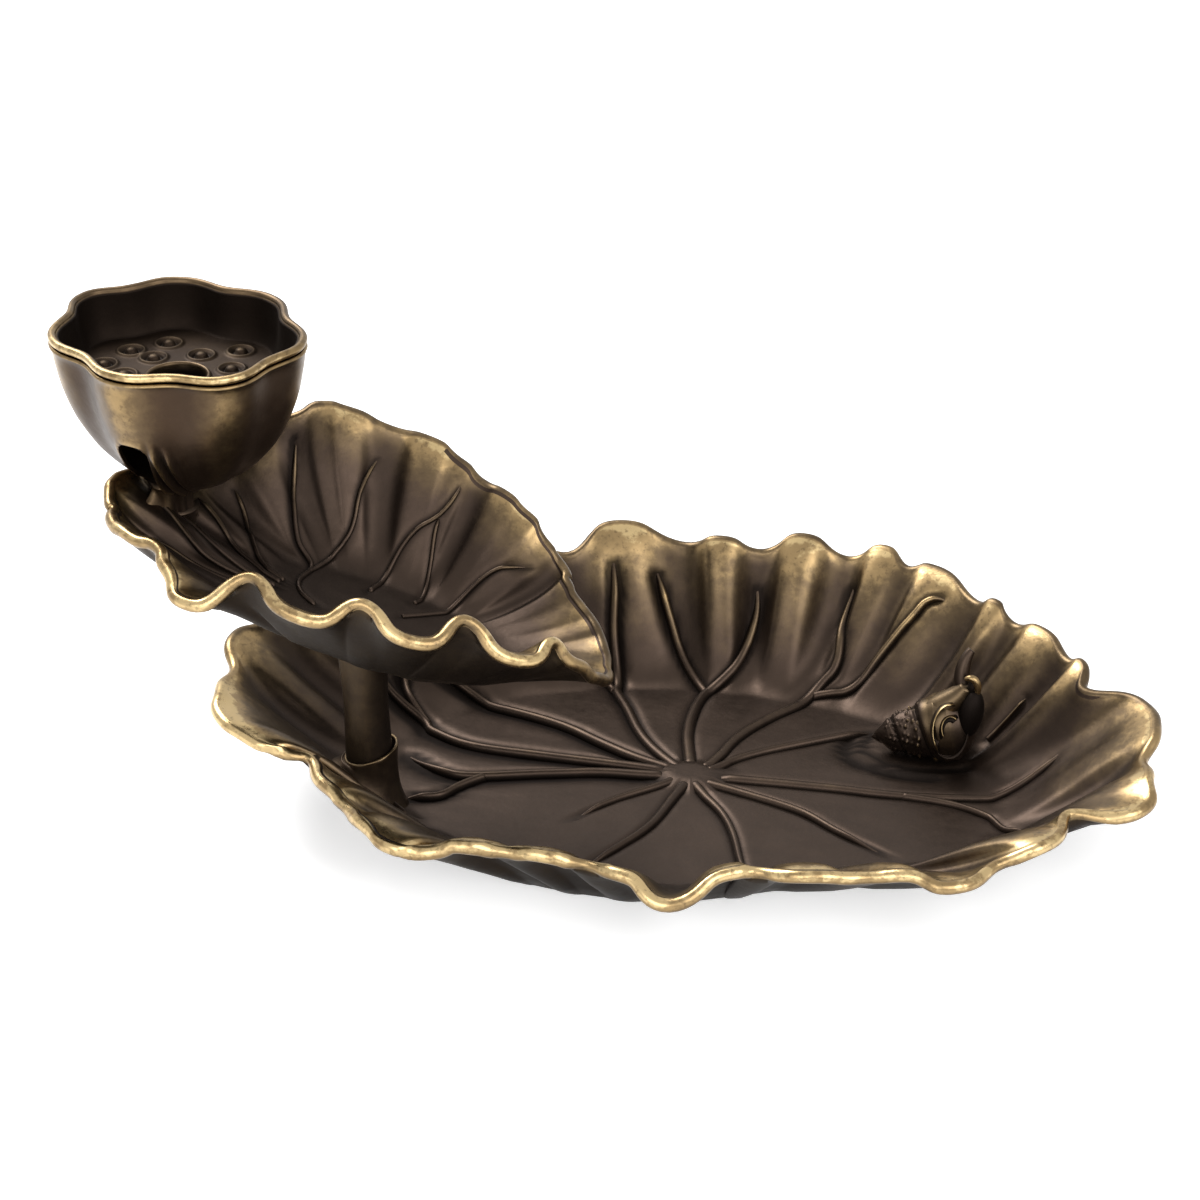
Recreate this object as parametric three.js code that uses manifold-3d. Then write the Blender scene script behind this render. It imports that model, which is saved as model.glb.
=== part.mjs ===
// Backflow incense burner in cast brass: a lotus leaf dish, a smaller tilted leaf on a stem, a lotus
// pod with a lift-out seed liner that holds the cone, and a pond snail. Millimetres, +Z up. The origin
// is on the resting plane, straight below the point where the veins of the dish meet.
import * as THREE from 'three';
import { mergeVertices } from 'three/addons/utils/BufferGeometryUtils.js';
import Module from 'manifold-3d';

const wasm = await Module();
wasm.setup();

// Clearances
const seatGap = 0.3;
const castGap = 0.4;
const holeClearance = 0.3;

// Solids that are joined into one sink this far into each other, and a cut runs this far past its wall
const joinOverlap = 0.3;
const cutPast = 1;
const throughLength = 60;
const farAbove = 1000;

// Steps that slopes and places along an edge are measured with, and the points round a footprint
const slopeStep = 0.01;
const placeStep = 0.001;
const footprintPoints = 12;

// Dish: an oval bowl whose edge is lobed like a lotus leaf. Its wall runs outwards by the end run at the
// two ends and by the side run at the two sides
const dishHalfLength = 73;
const dishHalfWidth = 44;
const dishCentreX = -1;
const dishCentreY = -0.5;
const dishEndRun = 25.3;
const dishSideRun = 14.8;
const dishFloorHalfLength = dishHalfLength - dishEndRun;
const dishFloorHalfWidth = dishHalfWidth - dishSideRun;
const dishFloorCentreX = 0.7;
const dishFloorCentreY = -3.3;
const dishFloorThickness = 3;
const dishWall = 1.8;
const dishBulge = 1.1;

// The floor is drawn in by this share of its reach, most at this turn and over about this many degrees
const dishFloorDrawn = { share: 0.2, turn: 300, over: 26 };

// How far the turns between two stations wander, which makes each lobe lean over its notch
const dishMeander = 0.35;

// Edge of the dish: turn in degrees round the oval, way out of the oval, height, and rise of the lip
const dishEdge = [
  [0, 0.5, 20, 30],
  [10, -0.5, 20, 40],
  [21, -7.4, 18.5, 65],
  [27, -4.6, 21, 35],
  [31, -5.6, 20, 65],
  [39, -3.4, 22, 35],
  [45, -3.6, 20.3, 60],
  [49, -2.4, 23, 40],
  [53, -2, 21, 60],
  [61, 2.6, 23.2, 30],
  [65, 1.6, 22, 55],
  [69, 4.2, 24, 35],
  [73.5, 2.4, 21, 60],
  [79.5, 2, 25, 30],
  [84.5, -1.2, 22, 65],
  [90, -2.2, 25, 35],
  [95.5, -1.6, 22.5, 60],
  [104.5, 0, 26, 30],
  [111.5, -5.5, 22, 65],
  [121, -1, 25, 30],
  [131, -4.5, 22, 65],
  [141, 0.5, 24.5, 30],
  [150, -3, 21.5, 65],
  [160, 1.5, 23, 30],
  [169, -2, 20.5, 65],
  [178, 1.5, 21, 30],
  [187, -0.9, 19, 60],
  [196, 2.2, 20, 30],
  [204, 4.4, 19.5, 10],
  [212, 2.2, 17.8, -10],
  [217, -5.4, 15.2, 60],
  [225, -1.2, 15, 10],
  [230.5, -0.4, 14.2, 45],
  [235, 3, 14.5, 0],
  [240.5, 5.6, 13.6, -20],
  [244, 2, 13, 35],
  [248.5, 1.2, 14.4, -5],
  [253, -2.2, 13.5, 45],
  [258, -1.4, 14, 0],
  [263, -4, 12.5, 60],
  [268, -1.2, 13, 20],
  [273.5, 1.8, 10.5, 30],
  [280.5, -2.6, 13.5, 0],
  [284, -4.8, 13, 60],
  [290, -1, 14, -5],
  [297, -2.6, 13, 45],
  [302.5, -0.4, 13.8, 10],
  [307.5, 3, 13, 10],
  [315, -0.7, 13.5, 50],
  [322, 1.8, 15.8, 0],
  [330.5, -4, 16, 65],
  [338.5, 5, 17, 0],
  [345, 2.2, 19, 25],
  [352, -1.2, 18, 60],
];

// Raised veins: half width of the ridge at its start and at its end, then the places it runs through, as
// [way, turn]. Way 0 is the hub, 1 the edge of the floor and 2 the rim
const veinHeight = 0.6;
const veinSink = 0.6;
const veinCrown = 0.45;
const dishHubHalfLength = 5.6;
const dishHubHalfWidth = 3.6;
const dishVeins = [
  [0.85, 0.65, [[0.1, 122], [0.3, 119], [0.71, 112.5], [1.03, 110.5], [1.42, 108], [1.84, 105.3]]],
  [0.95, 0.7, [[0.1, 95], [0.4, 96.5], [0.72, 94.8], [1.02, 92], [1.3, 86.7], [1.59, 84.5], [1.88, 85]]],
  [0.75, 0.6, [[1, 92], [1.3, 96.3], [1.57, 98], [1.8, 99.2]]],
  [0.85, 0.7, [[0.1, 68], [0.28, 73.5], [0.55, 76.5], [1.15, 71.6], [1.35, 69.4], [1.62, 71.6], [1.9, 72]]],
  [0.7, 0.55, [[1.12, 71.6], [1.26, 65], [1.65, 61], [1.88, 56.1]]],
  [0.75, 0.5, [[0.1, 52], [0.3, 60.3], [0.6, 56], [0.97, 52]]],
  [0.85, 0.4, [[0.1, 8], [0.47, 6.9], [0.7, 5.8], [1.09, 10], [1.38, 12.2], [1.62, 15.8]]],
  [0.65, 0.4, [[0.7, 5.8], [0.9, 2.5], [1.14, -8], [1.35, -12]]],
  [0.85, 0.45, [[0.1, 322], [0.2, 330], [0.43, 332.2], [0.67, 326.2], [0.98, 324]]],
  [0.85, 0.45, [[0.1, 288], [0.42, 293.5], [0.85, 288], [1.15, 287]]],
  [0.9, 0.45, [[0.1, 262], [0.45, 259.5], [0.72, 255.5], [1, 252]]],
  [0.75, 0.35, [[0.1, 228], [0.34, 230.5], [0.62, 234]]],
  [0.75, 0.6, [[0.1, 188], [0.27, 182.5], [0.45, 186], [0.72, 189.7], [0.85, 186.1], [1.03, 172]]],
  [0.8, 0.6, [[0.1, 158], [0.3, 164], [0.54, 166.3], [0.8, 166.3], [1.06, 159], [1.35, 158], [1.62, 151]]],
  [0.85, 0.6, [[0.1, 138], [0.23, 141], [0.45, 138], [0.69, 136.1], [1.09, 141], [1.39, 144.6], [1.6, 146]]],
];

// Upper leaf, in its own frame: +X runs down towards the pouring tip, the hub is at its origin
const leafHalfLength = 41;
const leafHalfWidth = 24;
const leafCentreX = -2.5;
const leafCentreY = 3;
const leafFloorHalfLength = 19;
const leafFloorHalfWidth = 10;
const leafFloorCentreX = 1;
const leafFloorCentreY = 1;
const leafWall = 1.8;
const leafBulge = 0.8;
const leafMeander = 0.5;
const leafTilt = 16;
const leafHubHeight = 36.5;

const leafEdge = [
  [0, -0.9, 5, 10],
  [11, -2.3, 6.1, 35],
  [21, -3, 7.1, 40],
  [31, -3.8, 8, 45],
  [39, -3.5, 9.2, 50],
  [44, -2.4, 10, 65],
  [51, -2.4, 12.2, 45],
  [58, -2.2, 15, 35],
  [66, -1.9, 16.4, 40],
  [72.5, -1.7, 16, 62],
  [79, -0.4, 17.5, 40],
  [87, 0.8, 18.8, 30],
  [96, 0.3, 18.2, 60],
  [106, 1.6, 19.2, 30],
  [112, 1.4, 19.1, 40],
  [118.5, -0.6, 16.6, 65],
  [128, 0.5, 13.5, 30],
  [138, -1.5, 8.5, 60],
  [148, -0.5, 6.4, 30],
  [158, -1.5, 5.8, 55],
  [168, -0.2, 6.9, 25],
  [176, 0.2, 6.7, 20],
  [185, -1.2, 5.8, 45],
  [191, -2.4, 5.4, 60],
  [198, -1.2, 5.6, 30],
  [210, -1.8, 6.8, 40],
  [222, -3.2, 8, 50],
  [231, -0.8, 7, 20],
  [240, 2.6, 5.8, -10],
  [249.5, -3.2, 12.5, 60],
  [264.5, 1, 11.2, 10],
  [275, -2.7, 15.4, 60],
  [288, 1.3, 13, 10],
  [298, -4.2, 15.9, 60],
  [313.5, -0.6, 11.4, 10],
  [325, -4.6, 12.7, 60],
  [338, -2.2, 8.8, 35],
  [347, -0.6, 6, 20],
  [354, 0.2, 4.7, 10],
];

const leafVeinHeight = 0.45;
const leafVeins = [
  [0.45, 0.4, [[0.42, 191], [0.93, 133.2], [1.28, 128.1], [1.64, 119.9], [1.9, 116.8]]],
  [0.45, 0.4, [[0.93, 133.2], [1.29, 109], [1.58, 102.3], [1.86, 96.1]]],
  [0.45, 0.4, [[0.75, 98], [1.33, 88.4], [1.64, 78.8], [1.9, 75.9]]],
  [0.45, 0.4, [[0.45, 58], [0.62, 57.9], [1.42, 57.3], [1.85, 47]]],
  [0.45, 0.4, [[0.8, 162], [1.14, 154.6], [1.51, 138.4], [1.77, 134.9]]],
  [0.45, 0.4, [[0.8, 168], [1.16, 160.6], [1.55, 149.4], [1.78, 147.7]]],
];

// Stem and the leaf sheath that it stands in
const stemInset = 25.7;
const stemSide = 27.4;
const stemX = dishCentreX - dishHalfLength + stemInset;
const stemY = dishCentreY - dishHalfWidth + stemSide;
const stemFootRadius = 3.4;
const stemTopRadius = 3.7;
const spigotRadius = 1.9;
const spigotLength = 8;
const socketRadius = 4.7;
const socketWaist = 4.3;
const socketLipRadius = 4.8;
const socketDepth = 5.6;
const socketFloorRise = 0.8;
const socketWall = 0.7;
const socketFlare = 2.2;
const socketLipLift = 1.1;
const socketLipSpread = 0.7;
const socketLipTurn = 25;

// Screws
const stemScrewRadius = 1.5;
const smallScrewRadius = 1.25;
const screwHeadHeight = 1.3;
const screwHeadOver = 1.3;
const slotWidth = 0.8;
const slotDepth = 1.2;
const washerOver = 1.7;
const washerThickness = 0.5;
const nutRadius = 2.9;
const nutHeight = 2;
const boltPast = 0.6;
const padOver = 1.9;
const padDrop = 0.5;
const stemPadFloor = 1.7;
const stemScrewReach = 6;
const screwTipRoom = 1;
const stemFlareDrop = 3;

// Lotus pod
const podOffsetX = 1.7;
const podOffsetY = 2;
const podHalfLength = 21.2;
const podHalfWidth = 18.3;
const podTurn = -33;
const podHeight = 24.6;
const podBottomDrop = 1.6;
const podWall = 1.3;
const podFloorThickness = 1.6;
const podNotchDepth = 1.95;
const podNotchSharpness = 1.3;
const podNotches = [23, 80, 132, 172, 228, 285, 332];
const rimBead = 0.8;

// How far the bead stands out of the shell below its crown, at its crown and at its lower edge
const beadSide = 0.3;
const beadCrown = 0.6;
const beadFoot = 0.4;

// Seed liner that lifts out of the pod
const linerWall = 1;
const linerClearance = 0.4;
const linerDrop = 8;
const linerFloorThickness = 2;
const coneHoleRadius = 4.35;
const coneHoleLip = 0.7;
const coneLipWidth = 0.8;
const coneHoleShiftX = -0.4;
const coneHoleShiftY = -2.5;

// Lotus seeds: rings round the hole, as [how many, radius of the ring, turn of the first], without those
// that would come nearer to the wall than the room between them
const seedRadius = 1.3;
const seedHeight = 0.8;
const seedRoom = 2.4;
const seedRings = [
  [7, 8.4, 30],
  [13, 12.8, 30],
];

// Neck between the upper leaf and the pod, and the arched smoke outlet beside it
const neckInset = 9.8;
const neckSide = 9.6;
const neckRise = 5.4;
const neckRadius = 3.1;
const neckWaist = 2.6;
const neckFlare = 1.2;
const neckFlutes = 8;
const neckFluteDepth = 0.25;
const outletWidth = 5;
const outletRise = 11.4;
const outletOffsetX = -1.6;
const outletSillDrop = 1;

// Snail: each whorl is [how far along the axis, radius]. The suture between two whorls has a share of
// their radius, and so has the base, which is rounded over a share of the last whorl
const snailInset = 44.2;
const snailSide = 30.5;
const snailX = dishCentreX + dishHalfLength - snailInset;
const snailY = dishCentreY + dishHalfWidth - snailSide;
const snailTipHeight = 5.3;
const snailLength = 17;
const snailHeading = 0;
const snailRise = 14;
const snailWhorls = [
  [2.2, 1.8],
  [4.8, 3.1],
  [8, 4.3],
  [12, 5.9],
];
const whorlSpread = 0.62;
const sutureShare = 0.72;
const baseShare = 0.55;
const baseRound = 0.2;
const mouthRadius = 4;
const mouthTall = 1.25;
const mouthBead = 0.7;
const mouthAlong = 13.4;
const mouthSide = 3.9;
const mouthRise = 3.9;
const mouthTurn = 66;
const headAlong = 14.6;
const headRise = 9.8;
const headSize = [2.2, 2, 3.6];
const headTurn = 25;
const hornRadius = 0.85;
const hornRoute = [
  [14, 1.2, 10.5],
  [14, 1.6, 14],
  [14.6, 2.2, 16.6],
  [15.5, 2.6, 18.4],
];
const snailScrewAlong = 11;
const snailScrewReach = 3;
const snailScrewRoom = 0.5;

const brassColour = 0x8c7349;
const patinaColour = 0x4b413e;
const darkColour = 0x2a211d;

const radians = (degrees) => THREE.MathUtils.degToRad(degrees);

// Solids: closed meshes go in, cut or joined meshes come out

function solidOf(geometry) {
  const plain = geometry.clone();
  plain.deleteAttribute('normal');
  plain.deleteAttribute('uv');
  const merged = mergeVertices(plain, 1e-4);
  const corners = merged.index.array;
  const kept = [];
  for (let i = 0; i < corners.length; i += 3) {
    const [a, b, c] = [corners[i], corners[i + 1], corners[i + 2]];
    if (a !== b && b !== c && c !== a) kept.push(a, b, c);
  }
  return new wasm.Manifold(
    new wasm.Mesh({
      numProp: 3,
      vertProperties: Float32Array.from(merged.attributes.position.array),
      triVerts: Uint32Array.from(kept),
    }),
  );
}

function geometryOf(solid) {
  const mesh = solid.getMesh();
  const geometry = new THREE.BufferGeometry();
  geometry.setAttribute('position', new THREE.BufferAttribute(Float32Array.from(mesh.vertProperties), 3));
  geometry.setIndex(Array.from(mesh.triVerts));
  geometry.computeVertexNormals();
  return geometry;
}

function cylinder(radius, bottom, top, x = 0, y = 0, segments = 24) {
  const geometry = new THREE.CylinderGeometry(radius, radius, top - bottom, segments);
  geometry.rotateX(Math.PI / 2);
  geometry.translate(x, y, (bottom + top) / 2);
  return geometry;
}

function box(sizeX, sizeY, sizeZ, x, y, z) {
  const geometry = new THREE.BoxGeometry(sizeX, sizeY, sizeZ);
  geometry.translate(x, y, z);
  return geometry;
}

// A turned piece on the Z axis through x, y, from a closed outline of [radius, height]
function turned(outline, x, y, segments = 28) {
  const points = outline.map(([radius, height]) => new THREE.Vector2(radius, height));
  const geometry = new THREE.LatheGeometry(points, segments);
  geometry.rotateX(Math.PI / 2);
  geometry.translate(x, y, 0);
  return geometry;
}

// Joins rings of points, all with the same count, into a closed skin. The first ring and the last are
// single points repeated, or the last ring is followed by the first where loop is true
function skin(rings, loop) {
  const count = rings[0].length;
  const positions = rings.flat().flatMap((point) => [point.x, point.y, point.z]);
  const index = [];
  const last = loop ? rings.length : rings.length - 1;
  for (let ring = 0; ring < last; ring += 1) {
    const next = (ring + 1) % rings.length;
    for (let i = 0; i < count; i += 1) {
      const j = (i + 1) % count;
      index.push(ring * count + i, ring * count + j, next * count + j);
      index.push(ring * count + i, next * count + j, next * count + i);
    }
  }
  const geometry = new THREE.BufferGeometry();
  geometry.setAttribute('position', new THREE.Float32BufferAttribute(positions, 3));
  geometry.setIndex(index);
  return geometry;
}

// Leaves

// A lobe is broader at its crest than at its notch by this power, and the corner at each station is
// rounded over this share of the way to the next
const crestBreadth = 1.3;
const cornerRounding = 0.16;

// One place on the smooth closed curve through the stations of a leaf's edge
function blendStations(leaf, place) {
  const count = leaf.edge.length;
  const first = Math.floor(place);
  const f = place - first;
  const near = [-1, 0, 1, 2].map((step) => {
    const i = first + step;
    const wraps = Math.floor(i / count);
    const [turn, out, up, lip] = leaf.edge[i - wraps * count];
    return [turn + 360 * wraps, out, up, lip];
  });
  const leavesCrest = near[1][3] < near[2][3];
  const shaped = leavesCrest ? f ** crestBreadth : 1 - (1 - f) ** crestBreadth;
  const turned = f + (leaf.meander / (2 * Math.PI)) * Math.sin(2 * Math.PI * f);
  return near[0].map((_, k) => {
    const [a, b, c, d] = near.map((station) => station[k]);
    const s = k === 0 ? turned : shaped;
    return b + 0.5 * s * (c - a + s * (2 * a - 5 * b + 4 * c - d + s * (3 * (b - c) + d - a)));
  });
}

// The edge at a place counted in stations, with its corners rounded
function edgeAt(leaf, place) {
  const before = blendStations(leaf, place - cornerRounding);
  const after = blendStations(leaf, place + cornerRounding);
  const here = blendStations(leaf, place);
  const [turn, out, up, lip] = here.map((value, k) => (before[k] + 2 * value + after[k]) / 4);
  return { turn: radians(turn), out, up, lip: radians(lip) };
}

// The place on a leaf's edge that lies at a turn in degrees
function placeAt(leaf, turn) {
  let low = -leaf.edge.length;
  let high = 2 * leaf.edge.length;
  while (high - low > placeStep) {
    const middle = (low + high) / 2;
    if (edgeAt(leaf, middle).turn < radians(turn)) low = middle;
    else high = middle;
  }
  return low;
}

// A point on the upper skin of a leaf: way 0 is the hub, 1 the edge of the floor, 2 the rim
function leafPoint(leaf, place, way) {
  const edge = edgeAt(leaf, place);
  const cos = Math.cos(edge.turn);
  const sin = Math.sin(edge.turn);
  const { share, turn, over } = leaf.floorDrawn;
  const away = THREE.MathUtils.euclideanModulo(THREE.MathUtils.radToDeg(edge.turn) - turn + 180, 360) - 180;
  const drawn = 1 - share * Math.exp(-((away / over) ** 2));
  const foot = new THREE.Vector3(
    leaf.floorCentreX + leaf.floorHalfLength * drawn * cos,
    leaf.floorCentreY + leaf.floorHalfWidth * drawn * sin,
    leaf.floorTop,
  );
  const hub = new THREE.Vector3(0, 0, leaf.floorTop);
  if (way <= 1) return hub.lerp(foot, way);
  const outward = new THREE.Vector3(cos / leaf.halfLength, sin / leaf.halfWidth, 0).normalize();
  const rim = new THREE.Vector3(leaf.centreX + leaf.halfLength * cos, leaf.centreY + leaf.halfWidth * sin, 0);
  rim.addScaledVector(outward, edge.out);
  rim.z = leaf.floorTop + edge.up;
  const span = foot.distanceTo(rim);
  const start = outward.clone().multiplyScalar(span * floorPull);
  const end = outward.clone().multiplyScalar(Math.cos(edge.lip));
  end.z = Math.sin(edge.lip);
  end.multiplyScalar(span * lipPull);
  const t = Math.min(way - 1, 1);
  const point = new THREE.Vector3();
  point.addScaledVector(foot, (1 + 2 * t) * (1 - t) ** 2);
  point.addScaledVector(start, t * (1 - t) ** 2);
  point.addScaledVector(rim, t * t * (3 - 2 * t));
  point.addScaledVector(end, t * t * (t - 1));
  return point;
}

// A point on the upper skin and the direction square to it there. The wall swells between floor and
// rim below a crest, and is drawn in a little below a notch
function leafFrame(leaf, place, way) {
  const point = leafPoint(leaf, place, way);
  if (way <= 1) return { point, normal: new THREE.Vector3(0, 0, 1) };
  const inner = leafPoint(leaf, place, way - slopeStep);
  const outer = leafPoint(leaf, place, Math.min(way + slopeStep, 2));
  const before = leafPoint(leaf, place - slopeStep, way);
  const after = leafPoint(leaf, place + slopeStep, way);
  const normal = outer.sub(inner).cross(after.sub(before)).normalize();
  const lip = THREE.MathUtils.radToDeg(edgeAt(leaf, place).lip);
  const crest = THREE.MathUtils.clamp((notchLip - lip) / (notchLip - crestLip), 0, 1);
  const t = Math.min(way - 1, 1);
  const swell = leaf.bulge * (4 * t * (1 - t)) ** swellSharpness * (crest - swellStart);
  return { point: point.addScaledVector(normal, swell), normal };
}

// Where the rings of a leaf's upper skin and of its lower skin lie, as ways
const upperWays = [0.999, 1.15, 1.34, 1.56, 1.77, 1.92, 2];
const lowerWays = [0.999, 1.15, 1.45, 1.77, 2];

// The rise of the lip at a crest and at a notch, how far the swelling keeps to the middle of the wall,
// and how crested a place has to be to swell outwards
const crestLip = 12;
const notchLip = 62;
const swellSharpness = 1.3;
const swellStart = 0.35;

// How strongly the wall leaves the floor level and meets the rim along its lip, and the share of the
// wall over which the floor thins down to it
const floorPull = 0.7;
const lipPull = 0.9;
const thinningShare = 1 / 3;
const rimRound = 0.4;

// A leaf is its upper skin, a rounded rim and the lower skin, one wall below the upper one
function leafGeometry(leaf, grow = 0) {
  const columns = leaf.edge.length * leaf.columnsPerStation;
  const places = Array.from({ length: columns }, (_, i) => i / leaf.columnsPerStation);
  const upper = upperWays.map((way) => places.map((place) => {
    const { point, normal } = leafFrame(leaf, place, way);
    return point.addScaledVector(normal, grow);
  }));
  const lower = lowerWays.map((way) => {
    const thinned = THREE.MathUtils.clamp((way - 1) / thinningShare, 0, 1);
    const thickness = THREE.MathUtils.lerp(leaf.floorThickness, leaf.wall, thinned);
    return places.map((place) => {
      const { point, normal } = leafFrame(leaf, place, way);
      return point.addScaledVector(normal, -thickness - grow);
    });
  });
  const rimRing = places.map((place, i) => {
    const edge = edgeAt(leaf, place);
    const cos = Math.cos(edge.turn) / leaf.halfLength;
    const sin = Math.sin(edge.turn) / leaf.halfWidth;
    const lip = new THREE.Vector3(cos, sin, 0).normalize().multiplyScalar(Math.cos(edge.lip));
    lip.z = Math.sin(edge.lip);
    const middle = upper[upper.length - 1][i].clone().lerp(lower[lower.length - 1][i], 0.5);
    return middle.addScaledVector(lip, leaf.wall * rimRound + grow);
  });
  const topHub = new THREE.Vector3(0, 0, leaf.floorTop + grow);
  const bottomHub = new THREE.Vector3(0, 0, leaf.floorTop - leaf.floorThickness - grow);
  const middleRings = [...lower, rimRing, ...upper.reverse()];
  return skin([places.map(() => bottomHub), ...middleRings, places.map(() => topHub)], false);
}

// A vein stands on the upper skin with sloping sides and a narrow crown, and its ends sink into the leaf
function veinGeometry(leaf, [startWidth, endWidth, route], grow = 0) {
  const knots = route.map(([way, turn]) => new THREE.Vector3(way, turn, 0));
  const curve = new THREE.CatmullRomCurve3(knots, false, 'catmullrom', 0.5);
  const shares = [0];
  for (let k = 1; k < knots.length; k += 1) {
    const onWall = knots[k].x > 1;
    if (onWall) shares.push((k - 0.5) / (knots.length - 1));
    shares.push(k / (knots.length - 1));
  }
  const frames = shares.map((share) => {
    const { x: way, y: turn } = curve.getPoint(share);
    return leafFrame(leaf, placeAt(leaf, turn), Math.min(way, 2));
  });
  const rings = frames.map(({ point, normal }, k) => {
    const before = frames[Math.max(k - 1, 0)].point;
    const after = frames[Math.min(k + 1, frames.length - 1)].point;
    const side = normal.clone().cross(after.clone().sub(before)).normalize();
    const width = THREE.MathUtils.lerp(startWidth, endWidth, shares[k]) + grow;
    const place = (across, above) => (
      point.clone().addScaledVector(side, across).addScaledVector(normal, above)
    );
    const top = leaf.veinHeight + grow;
    const crown = width * veinCrown;
    return [place(width, -veinSink), place(crown, top), place(-crown, top), place(-width, -veinSink)];
  });
  const end = (k) => {
    const sunk = frames[k].point.clone().addScaledVector(frames[k].normal, -veinSink);
    return rings[0].map(() => sunk);
  };
  return skin([end(0), ...rings, end(frames.length - 1)], false);
}

// A leaf's skin with its veins, as one solid
function leafWithVeins(leaf, grow = 0) {
  let solid = solidOf(leafGeometry(leaf, grow));
  for (const vein of leaf.veins) solid = solid.add(solidOf(veinGeometry(leaf, vein, grow)));
  return solid;
}

const dish = {
  edge: dishEdge.map(([turn, out, up, lip]) => [turn, out, up - dishFloorThickness, lip]),
  halfLength: dishHalfLength,
  halfWidth: dishHalfWidth,
  centreX: dishCentreX,
  centreY: dishCentreY,
  floorHalfLength: dishFloorHalfLength,
  floorHalfWidth: dishFloorHalfWidth,
  floorCentreX: dishFloorCentreX,
  floorCentreY: dishFloorCentreY,
  floorTop: dishFloorThickness,
  floorThickness: dishFloorThickness,
  floorDrawn: dishFloorDrawn,
  wall: dishWall,
  bulge: dishBulge,
  meander: dishMeander,
  columnsPerStation: 2,
  veinHeight,
  veins: dishVeins,
};

const upperLeaf = {
  edge: leafEdge,
  halfLength: leafHalfLength,
  halfWidth: leafHalfWidth,
  centreX: leafCentreX,
  centreY: leafCentreY,
  floorHalfLength: leafFloorHalfLength,
  floorHalfWidth: leafFloorHalfWidth,
  floorCentreX: leafFloorCentreX,
  floorCentreY: leafFloorCentreY,
  floorTop: 0,
  floorThickness: leafWall,
  floorDrawn: { share: 0, turn: 0, over: 1 },
  wall: leafWall,
  bulge: leafBulge,
  meander: leafMeander,
  columnsPerStation: 2,
  veinHeight: leafVeinHeight,
  veins: leafVeins,
};

// Moves the upper leaf from its own frame to its place on the stem
function ontoStem(geometry) {
  geometry.rotateY(radians(leafTilt));
  geometry.translate(stemX, stemY, leafHubHeight);
  return geometry;
}

// Height of a geometry's upper skin, or of its lower one, over a point
function heightOver(geometry, x, y, lowest = false) {
  const mesh = new THREE.Mesh(geometry, new THREE.MeshBasicMaterial({ side: THREE.DoubleSide }));
  const down = new THREE.Raycaster(new THREE.Vector3(x, y, farAbove), new THREE.Vector3(0, 0, -1));
  const heights = down.intersectObject(mesh).map((hit) => hit.point.z);
  return lowest ? Math.min(...heights) : Math.max(...heights);
}

// Lowest and highest place of a geometry's upper skin under a round footprint
function footprint(geometry, x, y, radius, lowest = false) {
  const heights = [heightOver(geometry, x, y, lowest)];
  for (let i = 0; i < footprintPoints; i += 1) {
    const angle = (i / footprintPoints) * 2 * Math.PI;
    heights.push(heightOver(geometry, x + radius * Math.cos(angle), y + radius * Math.sin(angle), lowest));
  }
  return { low: Math.min(...heights), high: Math.max(...heights) };
}

// Fasteners, upright on the Z axis through x, y

function screw(radius, headBottom, tip, x, y) {
  const headTop = headBottom + screwHeadHeight;
  const head = solidOf(cylinder(radius + screwHeadOver, headBottom, headTop, x, y));
  const shank = solidOf(cylinder(radius, headTop - joinOverlap, tip, x, y, 16));
  const slot = solidOf(box((radius + screwHeadOver) * 3, slotWidth, slotDepth, x, y, headBottom));
  return geometryOf(head.add(shank).subtract(slot));
}

function washer(boreRadius, bottom, x, y) {
  const top = bottom + washerThickness;
  const ring = solidOf(cylinder(boreRadius + washerOver, bottom, top, x, y));
  return geometryOf(ring.subtract(solidOf(cylinder(boreRadius, bottom - cutPast, top + cutPast, x, y, 16))));
}

// The piece of a cut solid that lies highest, or lowest
function pieceAt(solid, end) {
  const height = (piece) => (end === 'top' ? piece.boundingBox().max[2] : -piece.boundingBox().min[2]);
  return solid.decompose().sort((a, b) => height(b) - height(a))[0];
}

// A round boss under a leaf, its top sunk a little into the leaf's lower skin
function boss(shrunkLeaf, radius, bottom, x, y) {
  const rod = solidOf(cylinder(radius, bottom, bottom + throughLength, x, y));
  return pieceAt(rod.subtract(shrunkLeaf), 'bottom');
}

// Dish, with the pad under the stem and the recess under the snail

const heading = radians(snailHeading);
const snailScrewX = snailX + snailScrewAlong * Math.cos(heading);
const snailScrewY = snailY + snailScrewAlong * Math.sin(heading);
const dishSkin = leafGeometry(dish);
const grownDish = leafWithVeins(dish, castGap).add(solidOf(dishSkin));
const shrunkDish = solidOf(leafGeometry(dish, -joinOverlap));
const hubPlateau = cylinder(1, dishFloorThickness - veinSink, dishFloorThickness + veinHeight);
hubPlateau.scale(dishHubHalfLength, dishHubHalfWidth, 1);
const stemPadRadius = stemScrewRadius + padOver;
const stemHole = solidOf(
  cylinder(stemScrewRadius + holeClearance, -cutPast, throughLength, stemX, stemY, 16),
);
const snailHole = solidOf(
  cylinder(smallScrewRadius + holeClearance, -cutPast, throughLength, snailScrewX, snailScrewY, 16),
);
const snailHeadRadius = smallScrewRadius + screwHeadOver + holeClearance;
const snailRecessTop = screwHeadHeight + seatGap;
const dishSolid = leafWithVeins(dish)
  .add(solidOf(hubPlateau))
  .add(boss(shrunkDish, stemPadRadius, stemPadFloor, stemX, stemY))
  .subtract(solidOf(cylinder(stemPadRadius, -cutPast, stemPadFloor, stemX, stemY)))
  .subtract(stemHole)
  .subtract(snailHole)
  .subtract(solidOf(cylinder(snailHeadRadius, -cutPast, snailRecessTop, snailScrewX, snailScrewY)));

// Sheath that the stem stands in

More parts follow.
